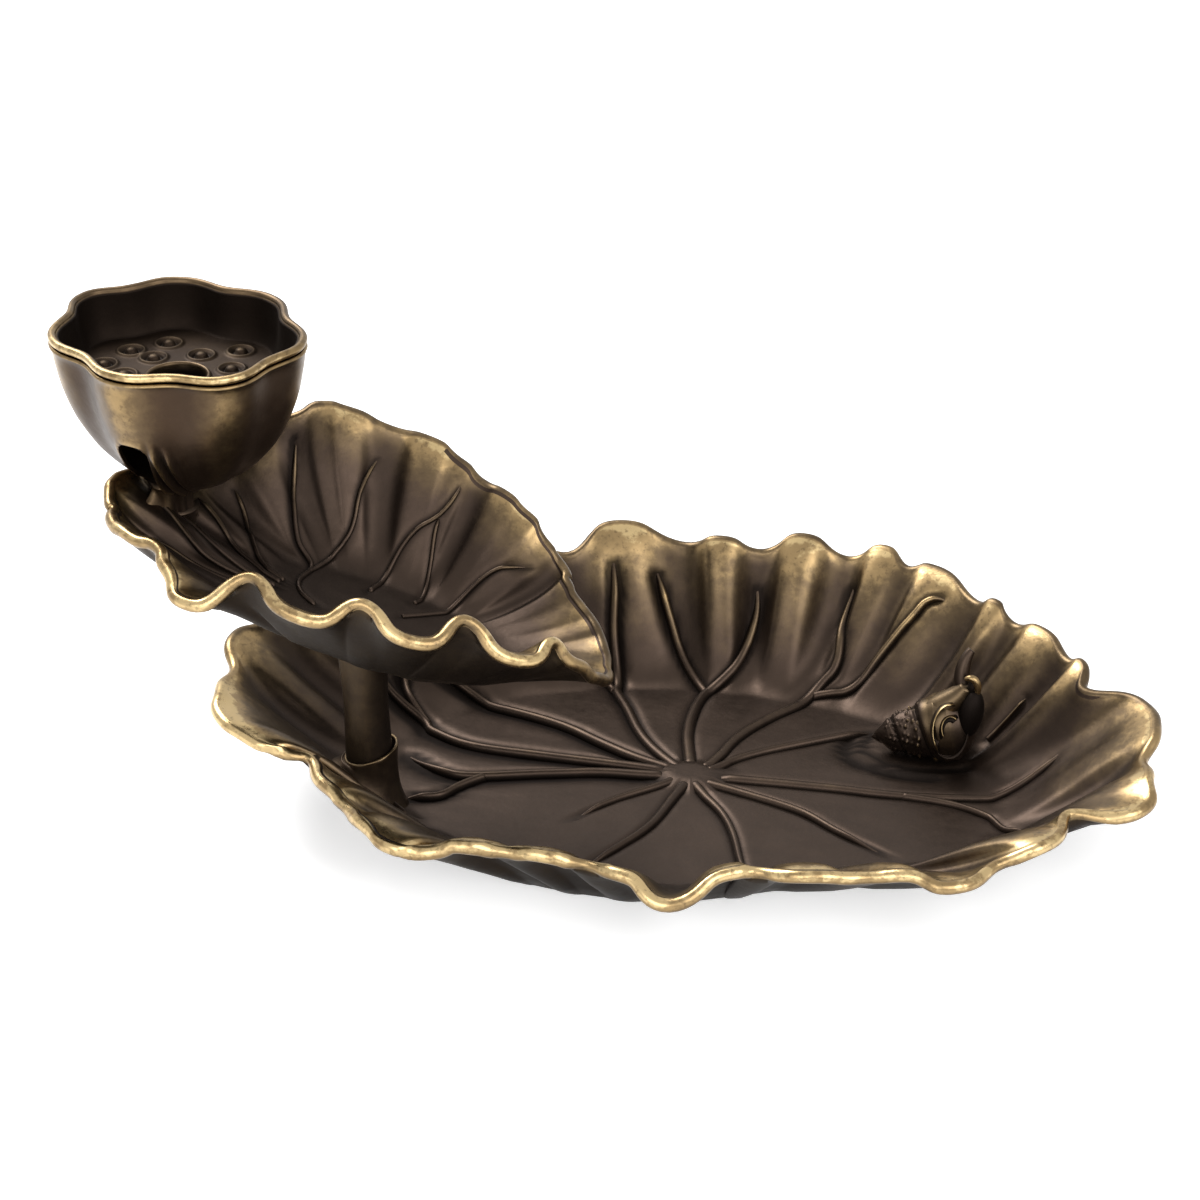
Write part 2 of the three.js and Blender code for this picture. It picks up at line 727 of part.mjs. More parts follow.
const socketBore = stemFootRadius + holeClearance;
const socketSeat = footprint(dishSkin, stemX, stemY, socketBore);
const socketFloor = (socketSeat.low + socketSeat.high) / 2 + socketFloorRise;
const socketTop = socketFloor + socketDepth;
const socketOutline = [
  [0, 0],
  [socketRadius, 0],
  [socketRadius, socketSeat.low],
  [socketWaist, socketTop - socketFlare],
  [socketLipRadius, socketTop - socketWall],
  [socketLipRadius, socketTop],
  [socketLipRadius - socketWall, socketTop],
  [socketBore, socketTop - socketFlare + seatGap],
  [socketBore, socketFloor],
  [0, socketFloor],
];
const socketSkin = turned(socketOutline, stemX, stemY);
const socketCorners = socketSkin.attributes.position;
const socketWaistHeight = socketTop - socketFlare;
for (let i = 0; i < socketCorners.count; i += 1) {
  const corner = new THREE.Vector3().fromBufferAttribute(socketCorners, i);
  const angle = Math.atan2(corner.y - stemY, corner.x - stemX) - radians(socketLipTurn);
  const lifted = THREE.MathUtils.clamp((corner.z - socketWaistHeight) / socketFlare, 0, 1);
  const outward = new THREE.Vector3(corner.x - stemX, corner.y - stemY, 0).normalize();
  corner.addScaledVector(outward, socketLipSpread * lifted * Math.max(Math.cos(angle), 0));
  socketCorners.setXYZ(i, corner.x, corner.y, corner.z + socketLipLift * lifted * Math.cos(angle));
}
const socketSolid = pieceAt(solidOf(socketSkin).subtract(grownDish), 'top')
  .subtract(stemHole);

// Upper leaf, with the spigot that stands in the stem and the pad under the pod

const leafSkin = ontoStem(leafGeometry(upperLeaf));
const veinedLeaf = solidOf(ontoStem(geometryOf(leafWithVeins(upperLeaf))));
const grownLeaf = solidOf(ontoStem(geometryOf(leafWithVeins(upperLeaf, castGap)))).add(solidOf(leafSkin));
const shrunkLeaf = solidOf(ontoStem(leafGeometry(upperLeaf, -joinOverlap)));
const leafUnderside = footprint(leafSkin, stemX, stemY, stemTopRadius, true);
const spigotBottom = leafUnderside.low - spigotLength;
const neckX = stemX + (leafCentreX - leafHalfLength) * Math.cos(radians(leafTilt)) + neckInset;
const neckY = stemY + neckSide;
const podFloorHeight = heightOver(leafSkin, neckX, neckY) + neckRise;
const podRimHeight = podFloorHeight + podHeight;
const podX = neckX + podOffsetX;
const podY = neckY + podOffsetY;
const neckHoleRadius = smallScrewRadius + holeClearance;
const neckPadRadius = smallScrewRadius + padOver;
const neckPadFloor = footprint(leafSkin, neckX, neckY, neckPadRadius, true).low - padDrop;
const neckHole = solidOf(
  cylinder(neckHoleRadius, neckPadFloor - cutPast, podRimHeight, neckX, neckY, 16),
);
const leafSolid = veinedLeaf
  .add(boss(shrunkLeaf, spigotRadius, spigotBottom, stemX, stemY))
  .add(boss(shrunkLeaf, neckPadRadius, neckPadFloor, neckX, neckY))
  .subtract(neckHole);

// Stem

const stemOutline = [
  [0, socketFloor],
  [stemFootRadius, socketFloor],
  [stemFootRadius, socketTop],
  [stemTopRadius, leafHubHeight - stemFlareDrop],
  [stemTopRadius, leafHubHeight + spigotLength],
  [0, leafHubHeight + spigotLength],
];
const spigotBore = solidOf(
  cylinder(spigotRadius + holeClearance, spigotBottom - screwTipRoom, leafHubHeight, stemX, stemY, 20),
);
const stemScrewTip = socketFloor + stemScrewReach;
const stemScrewBore = solidOf(
  cylinder(stemScrewRadius + holeClearance, 0, stemScrewTip + screwTipRoom, stemX, stemY, 16),
);
const stemRod = pieceAt(solidOf(turned(stemOutline, stemX, stemY)).subtract(grownLeaf), 'bottom');
const stemSolid = pieceAt(stemRod.subtract(grownDish), 'top')
  .subtract(spigotBore)
  .subtract(stemScrewBore);

// Neck of the pod

const perFlute = 4;
const neckWaistHeight = (neckPadFloor + podFloorHeight) / 2;
const neckRings = [
  [0, neckPadFloor],
  [neckRadius, neckPadFloor],
  [neckWaist, neckWaistHeight],
  [neckWaist, podFloorHeight - neckFlare],
  [neckRadius, podFloorHeight],
  [0, podFloorHeight],
].map(([radius, height]) => Array.from({ length: neckFlutes * perFlute }, (_, i) => {
  const angle = (i / (neckFlutes * perFlute)) * 2 * Math.PI;
  const reach = radius - (radius > 0 ? neckFluteDepth * (1 - Math.cos(angle * neckFlutes)) : 0);
  return new THREE.Vector3(neckX + reach * Math.cos(angle), neckY + reach * Math.sin(angle), height);
}));
const neckSolid = pieceAt(solidOf(skin(neckRings, false)).subtract(grownLeaf), 'top')
  .subtract(neckHole);

// Pod shell: an oval bowl with soft notches, pinched in most at the rim

function notchAt(turn) {
  const degrees = THREE.MathUtils.euclideanModulo(THREE.MathUtils.radToDeg(turn) - podNotches[0], 360);
  const turns = [...podNotches.map((notch) => notch - podNotches[0]), 360];
  const i = turns.findIndex((notch) => notch > degrees);
  const share = (degrees - turns[i - 1]) / (turns[i] - turns[i - 1]);
  return (0.5 + 0.5 * Math.cos(2 * Math.PI * share)) ** podNotchSharpness;
}

function podReach(turn, height) {
  const drop = (podRimHeight - height) / (podHeight + podBottomDrop);
  const fromLong = turn - radians(podTurn);
  const oval = 1 / Math.hypot(Math.cos(fromLong) / podHalfLength, Math.sin(fromLong) / podHalfWidth);
  const rise = (height - podFloorHeight) / (podRimHeight - podFloorHeight);
  const bowl = oval * Math.sqrt(Math.max(1 - drop * drop, 0));
  return bowl - podNotchDepth * notchAt(turn) * Math.sqrt(Math.max(rise, 0));
}

// Skin of a lobed piece of the pod from its outline, a function of the turn that gives [reach, height],
// with a third value, 1, on rings that lie about the cone's hole instead of about the pod
function podPiece(outline, loop) {
  const perLobe = 6;
  const turns = podNotches.flatMap((notch, k) => {
    const next = k + 1 < podNotches.length ? podNotches[k + 1] : podNotches[0] + 360;
    return Array.from({ length: perLobe }, (_, i) => radians(notch + ((next - notch) * i) / perLobe));
  });
  const columns = turns.map((turn) => outline(turn).map(([reach, height, aboutHole = 0]) => {
    const x = podX + coneHoleShiftX * aboutHole + reach * Math.cos(turn);
    const y = podY + coneHoleShiftY * aboutHole + reach * Math.sin(turn);
    return new THREE.Vector3(x, y, height);
  }));
  const rings = columns[0].map((_, k) => columns.map((column) => column[k]));
  return skin(rings, loop);
}

const shellTop = podRimHeight - 2 * rimBead - seatGap;
const podSteps = [0, 0.05, 0.14, 0.27, 0.45, 0.68, 0.9];
const chamberFloor = podFloorHeight + podFloorThickness;

function shellOutline(turn) {
  const outer = podSteps.map((step) => THREE.MathUtils.lerp(podFloorHeight, shellTop, step));
  const inner = podSteps.map((step) => THREE.MathUtils.lerp(chamberFloor, shellTop, step));
  const reach = podReach(turn, shellTop);
  return [
    [0, podFloorHeight],
    ...outer.map((height) => [podReach(turn, height), height]),
    [reach + rimBead * beadSide, shellTop - rimBead / 2],
    [reach, shellTop],
    [reach - podWall, shellTop],
    ...inner.reverse().map((height) => [podReach(turn, height) - podWall, height]),
    [0, chamberFloor],
  ];
}

const outletX = neckX + outletOffsetX;
const outletSill = podFloorHeight - outletSillDrop;
const archHeight = podFloorHeight + outletRise - outletWidth / 2;
const archShape = new THREE.Shape();
archShape.moveTo(-outletWidth / 2, outletSill);
archShape.lineTo(outletWidth / 2, outletSill);
archShape.lineTo(outletWidth / 2, archHeight);
archShape.absarc(0, archHeight, outletWidth / 2, 0, Math.PI, false);
archShape.lineTo(-outletWidth / 2, outletSill);
const archCut = { depth: podHalfLength, bevelEnabled: false, curveSegments: 8 };
const arch = new THREE.ExtrudeGeometry(archShape, archCut);
arch.rotateX(Math.PI / 2);
arch.translate(outletX, podY, 0);
const shellSolid = pieceAt(solidOf(podPiece(shellOutline, false)).subtract(grownLeaf), 'top')
  .subtract(neckHole)
  .subtract(solidOf(arch));

// Seed liner: hangs by its rim in the shell, with the hole that the cone stands over

const linerFloorTop = podRimHeight - linerDrop;
const linerFloorBottom = linerFloorTop - linerFloorThickness;
const linerSteps = [0, 0.3, 0.6, 0.9];

// Its rim is a bead that covers the shell's edge
function linerOutline(turn) {
  const outside = (height) => podReach(turn, height) - podWall - linerClearance;
  const inner = linerSteps.map((step) => THREE.MathUtils.lerp(linerFloorTop, shellTop, step));
  const outer = linerSteps.map((step) => THREE.MathUtils.lerp(linerFloorBottom, shellTop, step)).reverse();
  const reach = podReach(turn, shellTop);
  const flange = shellTop + seatGap;
  return [
    [coneHoleRadius, linerFloorTop + coneHoleLip, 1],
    [coneHoleRadius + coneLipWidth, linerFloorTop + coneHoleLip, 1],
    [coneHoleRadius + 2 * coneLipWidth, linerFloorTop, 1],
    ...inner.map((height) => [outside(height) - linerWall, height]),
    [outside(shellTop) - linerWall, podRimHeight - rimBead],
    [reach - podWall, podRimHeight - rimBead / 5],
    [reach - rimBead * beadCrown, podRimHeight],
    [reach + rimBead * beadSide, podRimHeight - rimBead / 2],
    [reach + rimBead * beadFoot, podRimHeight - rimBead * (1 + beadSide)],
    [reach, flange],
    [outside(shellTop), flange],
    ...outer.map((height) => [outside(height), height]),
    [coneHoleRadius, linerFloorBottom, 1],
  ].reverse();
}

// Seeds stand on the liner's floor as low domes
const holeX = podX + coneHoleShiftX;
const holeY = podY + coneHoleShiftY;
let linerSolid = solidOf(podPiece(linerOutline, true));
for (const [count, radius, first] of seedRings) {
  for (let k = 0; k < count; k += 1) {
    const angle = radians(first + (360 * k) / count);
    const x = holeX + radius * Math.cos(angle);
    const y = holeY + radius * Math.sin(angle);
    const wallReach = podReach(Math.atan2(y - podY, x - podX), linerFloorTop) - podWall - linerClearance;
    if (Math.hypot(x - podX, y - podY) + seedRoom < wallReach - linerWall) {
      const seed = new THREE.SphereGeometry(seedRadius, 6, 4);
      seed.scale(1, 1, seedHeight / seedRadius);
      seed.translate(x, y, linerFloorTop);
      linerSolid = linerSolid.add(solidOf(seed));
    }
  }
}

// Snail: a turned spire and body whorl lying along the dish, with a round mouth facing out

function snailGeometryAlong(geometry) {
  geometry.rotateY(Math.PI / 2 - radians(snailRise));
  geometry.rotateZ(heading);
  geometry.translate(snailX, snailY, snailTipHeight);
  return geometry;
}

const snailPoints = [[0, 0]];
let whorlStart = 0;
for (const [along, radius] of snailWhorls) {
  const halfWidth = (along - whorlStart) * (whorlStart > 0 ? whorlSpread : 1);
  for (const angle of [40, 90, 140]) {
    const bulge = Math.sin(radians(angle));
    const reach = radius * THREE.MathUtils.lerp(sutureShare, 1, bulge);
    snailPoints.push([reach, along - halfWidth * Math.cos(radians(angle))]);
  }
  whorlStart = along;
}
const [lastAlong, lastRadius] = snailWhorls[snailWhorls.length - 1];
const baseHeight = snailLength - (snailLength - lastAlong) * baseRound;
snailPoints.push([lastRadius * baseShare, baseHeight], [0, snailLength]);
const spire = new THREE.LatheGeometry(snailPoints.map(([r, along]) => new THREE.Vector2(r, along)), 14);
spire.rotateX(Math.PI / 2);
snailGeometryAlong(spire);
const mouth = new THREE.TorusGeometry(mouthRadius, mouthBead, 6, 16);
mouth.scale(1, mouthTall, 1);
mouth.rotateX(radians(mouthTurn));
mouth.translate(snailX + mouthAlong, snailY - mouthSide, snailTipHeight + mouthRise);

// Head, drawn out of the shell above the mouth, with one horn
const head = new THREE.SphereGeometry(1, 10, 6);
head.scale(...headSize);
head.rotateY(radians(headTurn));
head.translate(snailX + headAlong, snailY, snailTipHeight + headRise);
const hornPlaces = hornRoute.map(([along, back, rise]) => (
  new THREE.Vector3(snailX + along, snailY + back, snailTipHeight + rise)
));
const hornSection = new THREE.Shape().absarc(0, 0, hornRadius, 0, 2 * Math.PI, false);
const hornCurve = new THREE.CatmullRomCurve3(hornPlaces);
const hornSteps = { steps: 5, bevelEnabled: false, curveSegments: 6, extrudePath: hornCurve };
const horn = new THREE.ExtrudeGeometry(hornSection, hornSteps);
const snailScrewTip = dishFloorThickness + seatGap + snailScrewReach;
const snailBoreTop = snailScrewTip + snailScrewRoom;
const snailScrewBore = solidOf(
  cylinder(smallScrewRadius + holeClearance, -cutPast, snailBoreTop, snailScrewX, snailScrewY, 16),
);
const snailBody = solidOf(spire).add(solidOf(mouth)).add(solidOf(head)).add(solidOf(horn));
const snailSolid = pieceAt(snailBody.subtract(grownDish), 'top').subtract(snailScrewBore);

// Assembly

const group = new THREE.Group();

function addPiece(name, geometry, colour, roughness) {
  const material = new THREE.MeshStandardMaterial({ color: colour, roughness, metalness: 0.9 });
  const mesh = new THREE.Mesh(geometry, material);
  mesh.name = name;
  group.add(mesh);
}

const boltTop = chamberFloor + washerThickness + nutHeight + boltPast;
const nutBottom = chamberFloor + washerThickness;
const nut = solidOf(cylinder(nutRadius, nutBottom, nutBottom + nutHeight, neckX, neckY, 6));

addPiece('dish_leaf', geometryOf(dishSolid), patinaColour, 0.4);
addPiece('stem_socket', geometryOf(socketSolid), patinaColour, 0.45);
addPiece('stem', geometryOf(stemSolid), patinaColour, 0.45);
const stemScrew = screw(stemScrewRadius, stemPadFloor - screwHeadHeight, stemScrewTip, stemX, stemY);
addPiece('stem_screw', stemScrew, brassColour, 0.4);
addPiece('upper_leaf', geometryOf(leafSolid), patinaColour, 0.4);
addPiece('pod_neck', geometryOf(neckSolid), brassColour, 0.45);
const podBolt = screw(smallScrewRadius, neckPadFloor - screwHeadHeight, boltTop, neckX, neckY);
addPiece('pod_bolt', podBolt, brassColour, 0.4);
addPiece('pod_washer', washer(neckHoleRadius, chamberFloor, neckX, neckY), brassColour, 0.4);
addPiece('pod_nut', geometryOf(nut.subtract(neckHole)), brassColour, 0.4);
addPiece('pod_shell', geometryOf(shellSolid), brassColour, 0.4);
addPiece('pod_liner', geometryOf(linerSolid), darkColour, 0.5);
addPiece('snail', geometryOf(snailSolid), brassColour, 0.4);
const snailHeadBottom = snailRecessTop - screwHeadHeight - seatGap / 2;
const snailScrew = screw(smallScrewRadius, snailHeadBottom, snailScrewTip, snailScrewX, snailScrewY);
addPiece('snail_screw', snailScrew, brassColour, 0.4);

export default group;
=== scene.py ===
import bpy
import bmesh
import numpy as np
from math import cos, pi, radians, sin
from mathutils import Matrix, Vector


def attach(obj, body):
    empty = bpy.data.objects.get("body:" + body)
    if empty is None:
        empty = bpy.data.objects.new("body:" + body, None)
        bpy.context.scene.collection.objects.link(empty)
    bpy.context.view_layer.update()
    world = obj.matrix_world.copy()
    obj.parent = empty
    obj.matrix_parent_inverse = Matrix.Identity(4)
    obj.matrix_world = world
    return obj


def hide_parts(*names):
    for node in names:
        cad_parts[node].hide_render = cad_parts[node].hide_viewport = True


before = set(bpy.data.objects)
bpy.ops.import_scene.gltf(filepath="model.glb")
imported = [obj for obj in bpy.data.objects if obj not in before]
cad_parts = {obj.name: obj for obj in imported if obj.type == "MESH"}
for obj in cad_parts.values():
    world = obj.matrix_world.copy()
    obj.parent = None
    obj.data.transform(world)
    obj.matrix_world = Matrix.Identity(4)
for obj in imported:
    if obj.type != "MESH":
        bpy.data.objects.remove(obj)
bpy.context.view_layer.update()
mm = 0.001
white = (1, 1, 1, 1)
print("frame loaded:", len(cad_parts), "nodes")


# Smooth step from 0 to 1 between two values, on arrays
def smooth(value, low, high):
    t = np.clip((value - low) / (high - low), 0, 1)
    return t * t * (3 - 2 * t)


def unit(vectors):
    return vectors / np.maximum(np.linalg.norm(vectors, axis=-1, keepdims=True), 1e-12)


def blend(start, end, share):
    return start + (end - start) * share


# A soft peak, 1 at zero and nearly gone past its width
def peak(value, width, power=2):
    return np.exp(-((value / width) ** power))


# A smooth line between the middle two of four places
def curveBetween(a, b, c, d, share):
    bend = 2 * a - 5 * b + 4 * c - d + share * (3 * (b - c) + d - a)
    return b + 0.5 * share * (c - a + share * bend)


# Turns round a piece, one for each column, in radians
def turnsRound(columns):
    return np.arange(columns) / columns * 2 * pi


# A ring of points round an upright axis
def ring(centre, turn, reach, height):
    x = centre[0] + reach * np.cos(turn)
    y = centre[1] + reach * np.sin(turn)
    return np.stack([x, y, height + 0 * turn], -1)


# The rings of a piece, with how rubbed and how black each one is, painted light and painted shade
# included
class Rings:
    def __init__(self, turn):
        self.turn = turn
        self.points = []
        self.wear = []
        self.groove = []

    def add(self, points, wear, groove=0.0):
        self.points.append(points)
        self.wear.append(wear + 0 * self.turn)
        self.groove.append(groove + 0 * self.turn)

    def skin(self):
        return np.array(self.points), np.array(self.wear), np.array(self.groove)


# Soft unevenness of a casting, from a few sine waves in millimetres
def ripple(points, size, seed):
    rng = np.random.default_rng(seed)
    waves = 7
    total = np.zeros(points.shape[:-1])
    for _ in range(waves):
        way = rng.normal(size=3)
        way *= rng.uniform(0.6, 1.5) / (size * np.linalg.norm(way))
        total += np.sin(points @ way * 2 * pi + rng.uniform(0, 2 * pi))
    return total / waves


# Unevenness of each casting, as the size, seed and depth of its swells
castings = {
    "leaf": [(14, 3, 0.10), (5, 4, 0.05)],
    "pod": [(9, 11, 0.10), (3.5, 12, 0.04)],
    "liner": [(7, 21, 0.08)],
}


def castRelief(points, casting):
    return sum(ripple(points, size, seed) * depth for size, seed, depth in castings[casting])


def addObject(name, data):
    obj = bpy.data.objects.new(name, data)
    bpy.context.scene.collection.objects.link(obj)
    return obj


def meshFrom(bm, name):
    mesh = bpy.data.meshes.new(name)
    bm.to_mesh(mesh)
    bm.free()
    return mesh


# Merges doubles, turns the faces outwards and shades them smooth
def cleanMesh(mesh):
    bm = bmesh.new()
    bm.from_mesh(mesh)
    bmesh.ops.remove_doubles(bm, verts=bm.verts, dist=0.001 * mm)
    bmesh.ops.recalc_face_normals(bm, faces=bm.faces)
    for face in bm.faces:
        face.smooth = True
    bm.to_mesh(mesh)
    bm.free()


# What a mesh tells its material at each vertex
def addValues(mesh, **values):
    for key, value in values.items():
        spread = np.broadcast_to(value, len(mesh.vertices)).astype(np.float32)
        mesh.attributes.new(key, "FLOAT", "POINT").data.foreach_set("value", spread)


# Scene: camera, floor and light

camera = {
    "target": (-16.84, 12.18, 26.91),
    "azimuth": 10.0,
    "elevation": 29.0,
    "distance": 480.0,
    "lens": 89.28,
    "sensor": 36,
}

studio = {
    "world": 0.42,
    "key": {"at": (-330, 250, 520), "size": 420, "power": 5.2},
    "fill": {"at": (420, -420, 380), "size": 520, "power": 2.6},
    "front": {"at": (-120, -620, 260), "size": 460, "power": 1.7},
    "aim": (0, 0, 20),
    "floorSize": 3000,
    "floorColour": (0.92, 0.92, 0.92, 1),
    "floorGlow": 0.50,
}


def makeCamera(settings):
    data = bpy.data.cameras.new("camera")
    data.lens = settings["lens"]
    data.sensor_width = settings["sensor"]
    data.clip_end = 10
    turn = radians(settings["azimuth"])
    rise = radians(settings["elevation"])
    back = Vector((sin(turn) * cos(rise), -cos(turn) * cos(rise), sin(rise)))
    obj = addObject("camera", data)
    obj.location = (Vector(settings["target"]) + back * settings["distance"]) * mm
    obj.rotation_euler = back.to_track_quat("Z", "Y").to_euler()
    bpy.context.scene.camera = obj


def makeLamp(name, settings):
    data = bpy.data.lights.new(name, "AREA")
    data.shape = "DISK"
    data.size = settings["size"] * mm
    data.energy = settings["power"]
    obj = addObject(name, data)
    obj.location = Vector(settings["at"]) * mm
    away = Vector(settings["at"]) - Vector(studio["aim"])
    obj.rotation_euler = away.to_track_quat("Z", "Y").to_euler()


# A socket that takes part in Python expressions
class Wire:
    def __init__(self, paint, socket):
        self.paint = paint
        self.socket = socket

    def math(self, operation, other, swap=False):
        first, second = (other, self) if swap else (self, other)
        return self.paint.node("ShaderNodeMath", {"operation": operation}, {0: first, 1: second})

    def __add__(self, other):
        return self.math("ADD", other)

    def __radd__(self, other):
        return self.math("ADD", other, swap=True)

    def __sub__(self, other):
        return self.math("SUBTRACT", other)

    def __rsub__(self, other):
        return self.math("SUBTRACT", other, swap=True)

    def __mul__(self, other):
        return self.math("MULTIPLY", other)

    def __rmul__(self, other):
        return self.math("MULTIPLY", other, swap=True)

    def clamp(self):
        return self.paint.node("ShaderNodeClamp", {}, {"Value": self, "Min": 0.0, "Max": 1.0})

    def step(self, low, high):
        return self.paint.node("ShaderNodeMapRange", {"interpolation_type": "SMOOTHSTEP"},
                               {0: self, 1: low, 2: high, 3: 0.0, 4: 1.0})


# The nodes of one material or of the world
class Paint:
    def __init__(self, owner):
        owner.use_nodes = True
        self.owner = owner
        self.tree = owner.node_tree

    def node(self, kind, settings, sockets, output=0):
        new = self.tree.nodes.new(kind)
        for key, value in settings.items():
            setattr(new, key, value)
        for key, value in sockets.items():
            self.join(value, new.inputs[key])
        return Wire(self, new.outputs[output])

    def join(self, value, socket):
        if isinstance(value, Wire):
            self.tree.links.new(value.socket, socket)
        else:
            socket.default_value = value

    def attribute(self, name):
        return self.node("ShaderNodeAttribute", {"attribute_name": name}, {}, "Fac")

    def noise(self, size, detail=3.0, rough=0.55):
        place = self.node("ShaderNodeTexCoord", {}, {}, "Object")
        return self.node("ShaderNodeTexNoise", {}, {
            "Vector": place, "Scale": 1 / (size * mm), "Detail": detail, "Roughness": rough,
        }, "Fac")

    def mix(self, factor, first, second, blend="MIX"):
        return self.node("ShaderNodeMix", {"data_type": "RGBA", "blend_type": blend},
                         {0: factor, 6: first, 7: second}, 2)

    def bump(self, height, strength, distance):
        return self.node("ShaderNodeBump", {}, {
            "Strength": strength, "Distance": distance * mm, "Height": height,
        }, "Normal")

    def set(self, values):
        for name, value in values.items():
            self.join(value, self.tree.nodes["Principled BSDF"].inputs[name])

    # 1 for rays that see the background, 0 for those that light the object
    def seen(self):
        rays = [self.node("ShaderNodeLightPath", {}, {}, kind)
                for kind in ("Is Camera Ray", "Is Glossy Ray", "Is Transmission Ray")]
        return rays[0].math("MAXIMUM", rays[1]).math("MAXIMUM", rays[2])

    def finish(self, kind, first, second):
        shown = self.node("ShaderNodeMixShader", {}, {0: self.seen(), 1: first, 2: second})
        self.join(shown, self.tree.nodes[kind].inputs[0])


def makeStage():
    bm = bmesh.new()
    bmesh.ops.create_grid(bm, x_segments=2, y_segments=2, size=studio["floorSize"] * mm)
    floor = addObject("floor", meshFrom(bm, "floor"))
    paint = Paint(bpy.data.materials.new("floor"))
    paint.set({"Base Color": studio["floorColour"], "Roughness": 0.9})
    lit = Wire(paint, paint.tree.nodes["Principled BSDF"].outputs[0])
    glow = paint.node("ShaderNodeEmission", {}, {"Color": white, "Strength": studio["floorGlow"]})
    paint.finish("Material Output", lit, paint.node("ShaderNodeAddShader", {}, {0: lit, 1: glow}))
    floor.data.materials.append(paint.owner)


def makeWorld(strength):
    bpy.context.scene.world = bpy.data.worlds.new("world")
    paint = Paint(bpy.context.scene.world)
    light = paint.tree.nodes["Background"]
    paint.join(white, light.inputs["Color"])
    paint.join(strength, light.inputs["Strength"])
    shown = paint.node("ShaderNodeBackground", {}, {"Color": white, "Strength": 1.0})
    paint.finish("World Output", Wire(paint, light.outputs[0]), shown)


makeCamera(camera)
makeWorld(studio["world"])
makeStage()
for lamp in ("key", "fill", "front"):
    makeLamp(lamp, studio[lamp])
bpy.context.scene.view_settings.view_transform = "Standard"
print("stage made")


# Finishes. Colours are linear

finishes = {
    "black": (0.006, 0.0043, 0.0036, 1),
    "leaf": {
        "dark": (0.046, 0.0315, 0.0235, 1),
        "olive": (0.105, 0.073, 0.041, 1),
        "gold": (0.290, 0.200, 0.097, 1),
        "bright": (0.52, 0.385, 0.195, 1),
        "rough": (0.42, 0.29),
    },
    "pod": {
        "dark": (0.046, 0.0290, 0.0185, 1),
        "olive": (0.105, 0.071, 0.039, 1),
        "gold": (0.250, 0.172, 0.082, 1),
        "bright": (0.50, 0.375, 0.195, 1),
        "rough": (0.44, 0.31),
    },
    "screw": ((0.13, 0.090, 0.042, 1), (0.30, 0.215, 0.10, 1)),
    "smoked": ((0.022, 0.016, 0.012, 1), (0.050, 0.036, 0.022, 1)),
}


# Where each tone of the brass comes in as the wear grows
wearSteps = {"olive": (0.08, 0.50), "gold": (0.42, 0.80), "bright": (0.84, 1.02)}


# Antique brass: one attribute runs from 0, dark patina, to 1, rubbed gold, and also carries painted
# light on lit sides.
# The other holds the black that stays in the hollows, and painted shade
def antiqueBrass(name, colours):
    paint = Paint(bpy.data.materials.new(name))
    wear = paint.attribute("wear")
    groove = paint.attribute("groove").clamp()
    broad = paint.noise(7.0, 5.0, 0.6)
    fine = paint.noise(1.6, 4.0, 0.6)
    spots = paint.noise(0.75, 2.0, 0.5)
    uneven = (broad - 0.5) * 0.85 + (fine - 0.5) * 0.50
    rubbedAndPaintedLight = (wear + uneven * (wear * 1.4 + 0.10)).clamp()
    colour = colours["dark"]
    for tone, (low, high) in wearSteps.items():
        colour = paint.mix(rubbedAndPaintedLight.step(low, high), colour, colours[tone])
    pits = (1 - spots.step(0.30, 0.42)) * 0.38
    colour = paint.mix(pits * rubbedAndPaintedLight.step(0.2, 0.7), colour, colours["dark"])
    colour = paint.mix(1.0, colour, (broad - 0.5) * 0.5 + 1.0, "MULTIPLY")
    roughDark, roughGold = colours["rough"]
    rough = rubbedAndPaintedLight * (roughGold - roughDark) + roughDark + (fine - 0.5) * 0.18 + groove * 0.2
    paint.set({
        "Base Color": paint.mix(groove * 0.92, colour, finishes["black"]),
        "Roughness": rough.clamp(),
        "Metallic": (rubbedAndPaintedLight * 0.05 + 0.95).clamp(),
        "Normal": paint.bump(fine + spots * 0.5, 0.25, 0.12),
    })
    return paint.owner


leafBrass = antiqueBrass("leafBrass", finishes["leaf"])
podBrass = antiqueBrass("podBrass", finishes["pod"])


# Tarnished brass of the screws and the nut, with fine turning marks
def plainBrass(name, tarnished, worn):
    paint = Paint(bpy.data.materials.new(name))
    tarnish = paint.noise(2.2, 4.0)
    scratch = paint.noise(0.35, 3.0, 0.6)
    paint.set({
        "Base Color": paint.mix(tarnish.step(0.35, 0.7), tarnished, worn),
        "Roughness": (scratch * 0.2 + 0.24).clamp(),
        "Metallic": 1.0,
        "Normal": paint.bump(scratch, 0.15, 0.05),
    })
    return paint.owner


screwBrass = plainBrass("screwBrass", *finishes["screw"])
smokedBrass = plainBrass("smokedBrass", *finishes["smoked"])
print("finishes made")

# Grids that are bent round a piece: columns run round it and rows along its outline

def bentGrid(name, grid, shape, material):
    columns, rows = grid
    bm = bmesh.new()
    bmesh.ops.create_grid(bm, x_segments=columns, y_segments=rows - 1, size=1.0)
    mesh = meshFrom(bm, name)
    flat = np.empty(len(mesh.vertices) * 3)
    mesh.vertices.foreach_get("co", flat)
    flat = flat.reshape(-1, 3)
    column = np.rint((flat[:, 0] + 1) / 2 * columns).astype(int) % columns
    row = np.rint((flat[:, 1] + 1) / 2 * (rows - 1)).astype(int)
    points, wear, groove = shape(columns, rows)
    mesh.vertices.foreach_set("co", (points[row, column] * mm).ravel())
    wear = np.broadcast_to(wear, (rows, columns))[row, column]
    groove = np.broadcast_to(groove, (rows, columns))[row, column]
    addValues(mesh, wear=wear, groove=groove)
    cleanMesh(mesh)
    mesh.materials.append(material)
    return addObject(name, mesh)


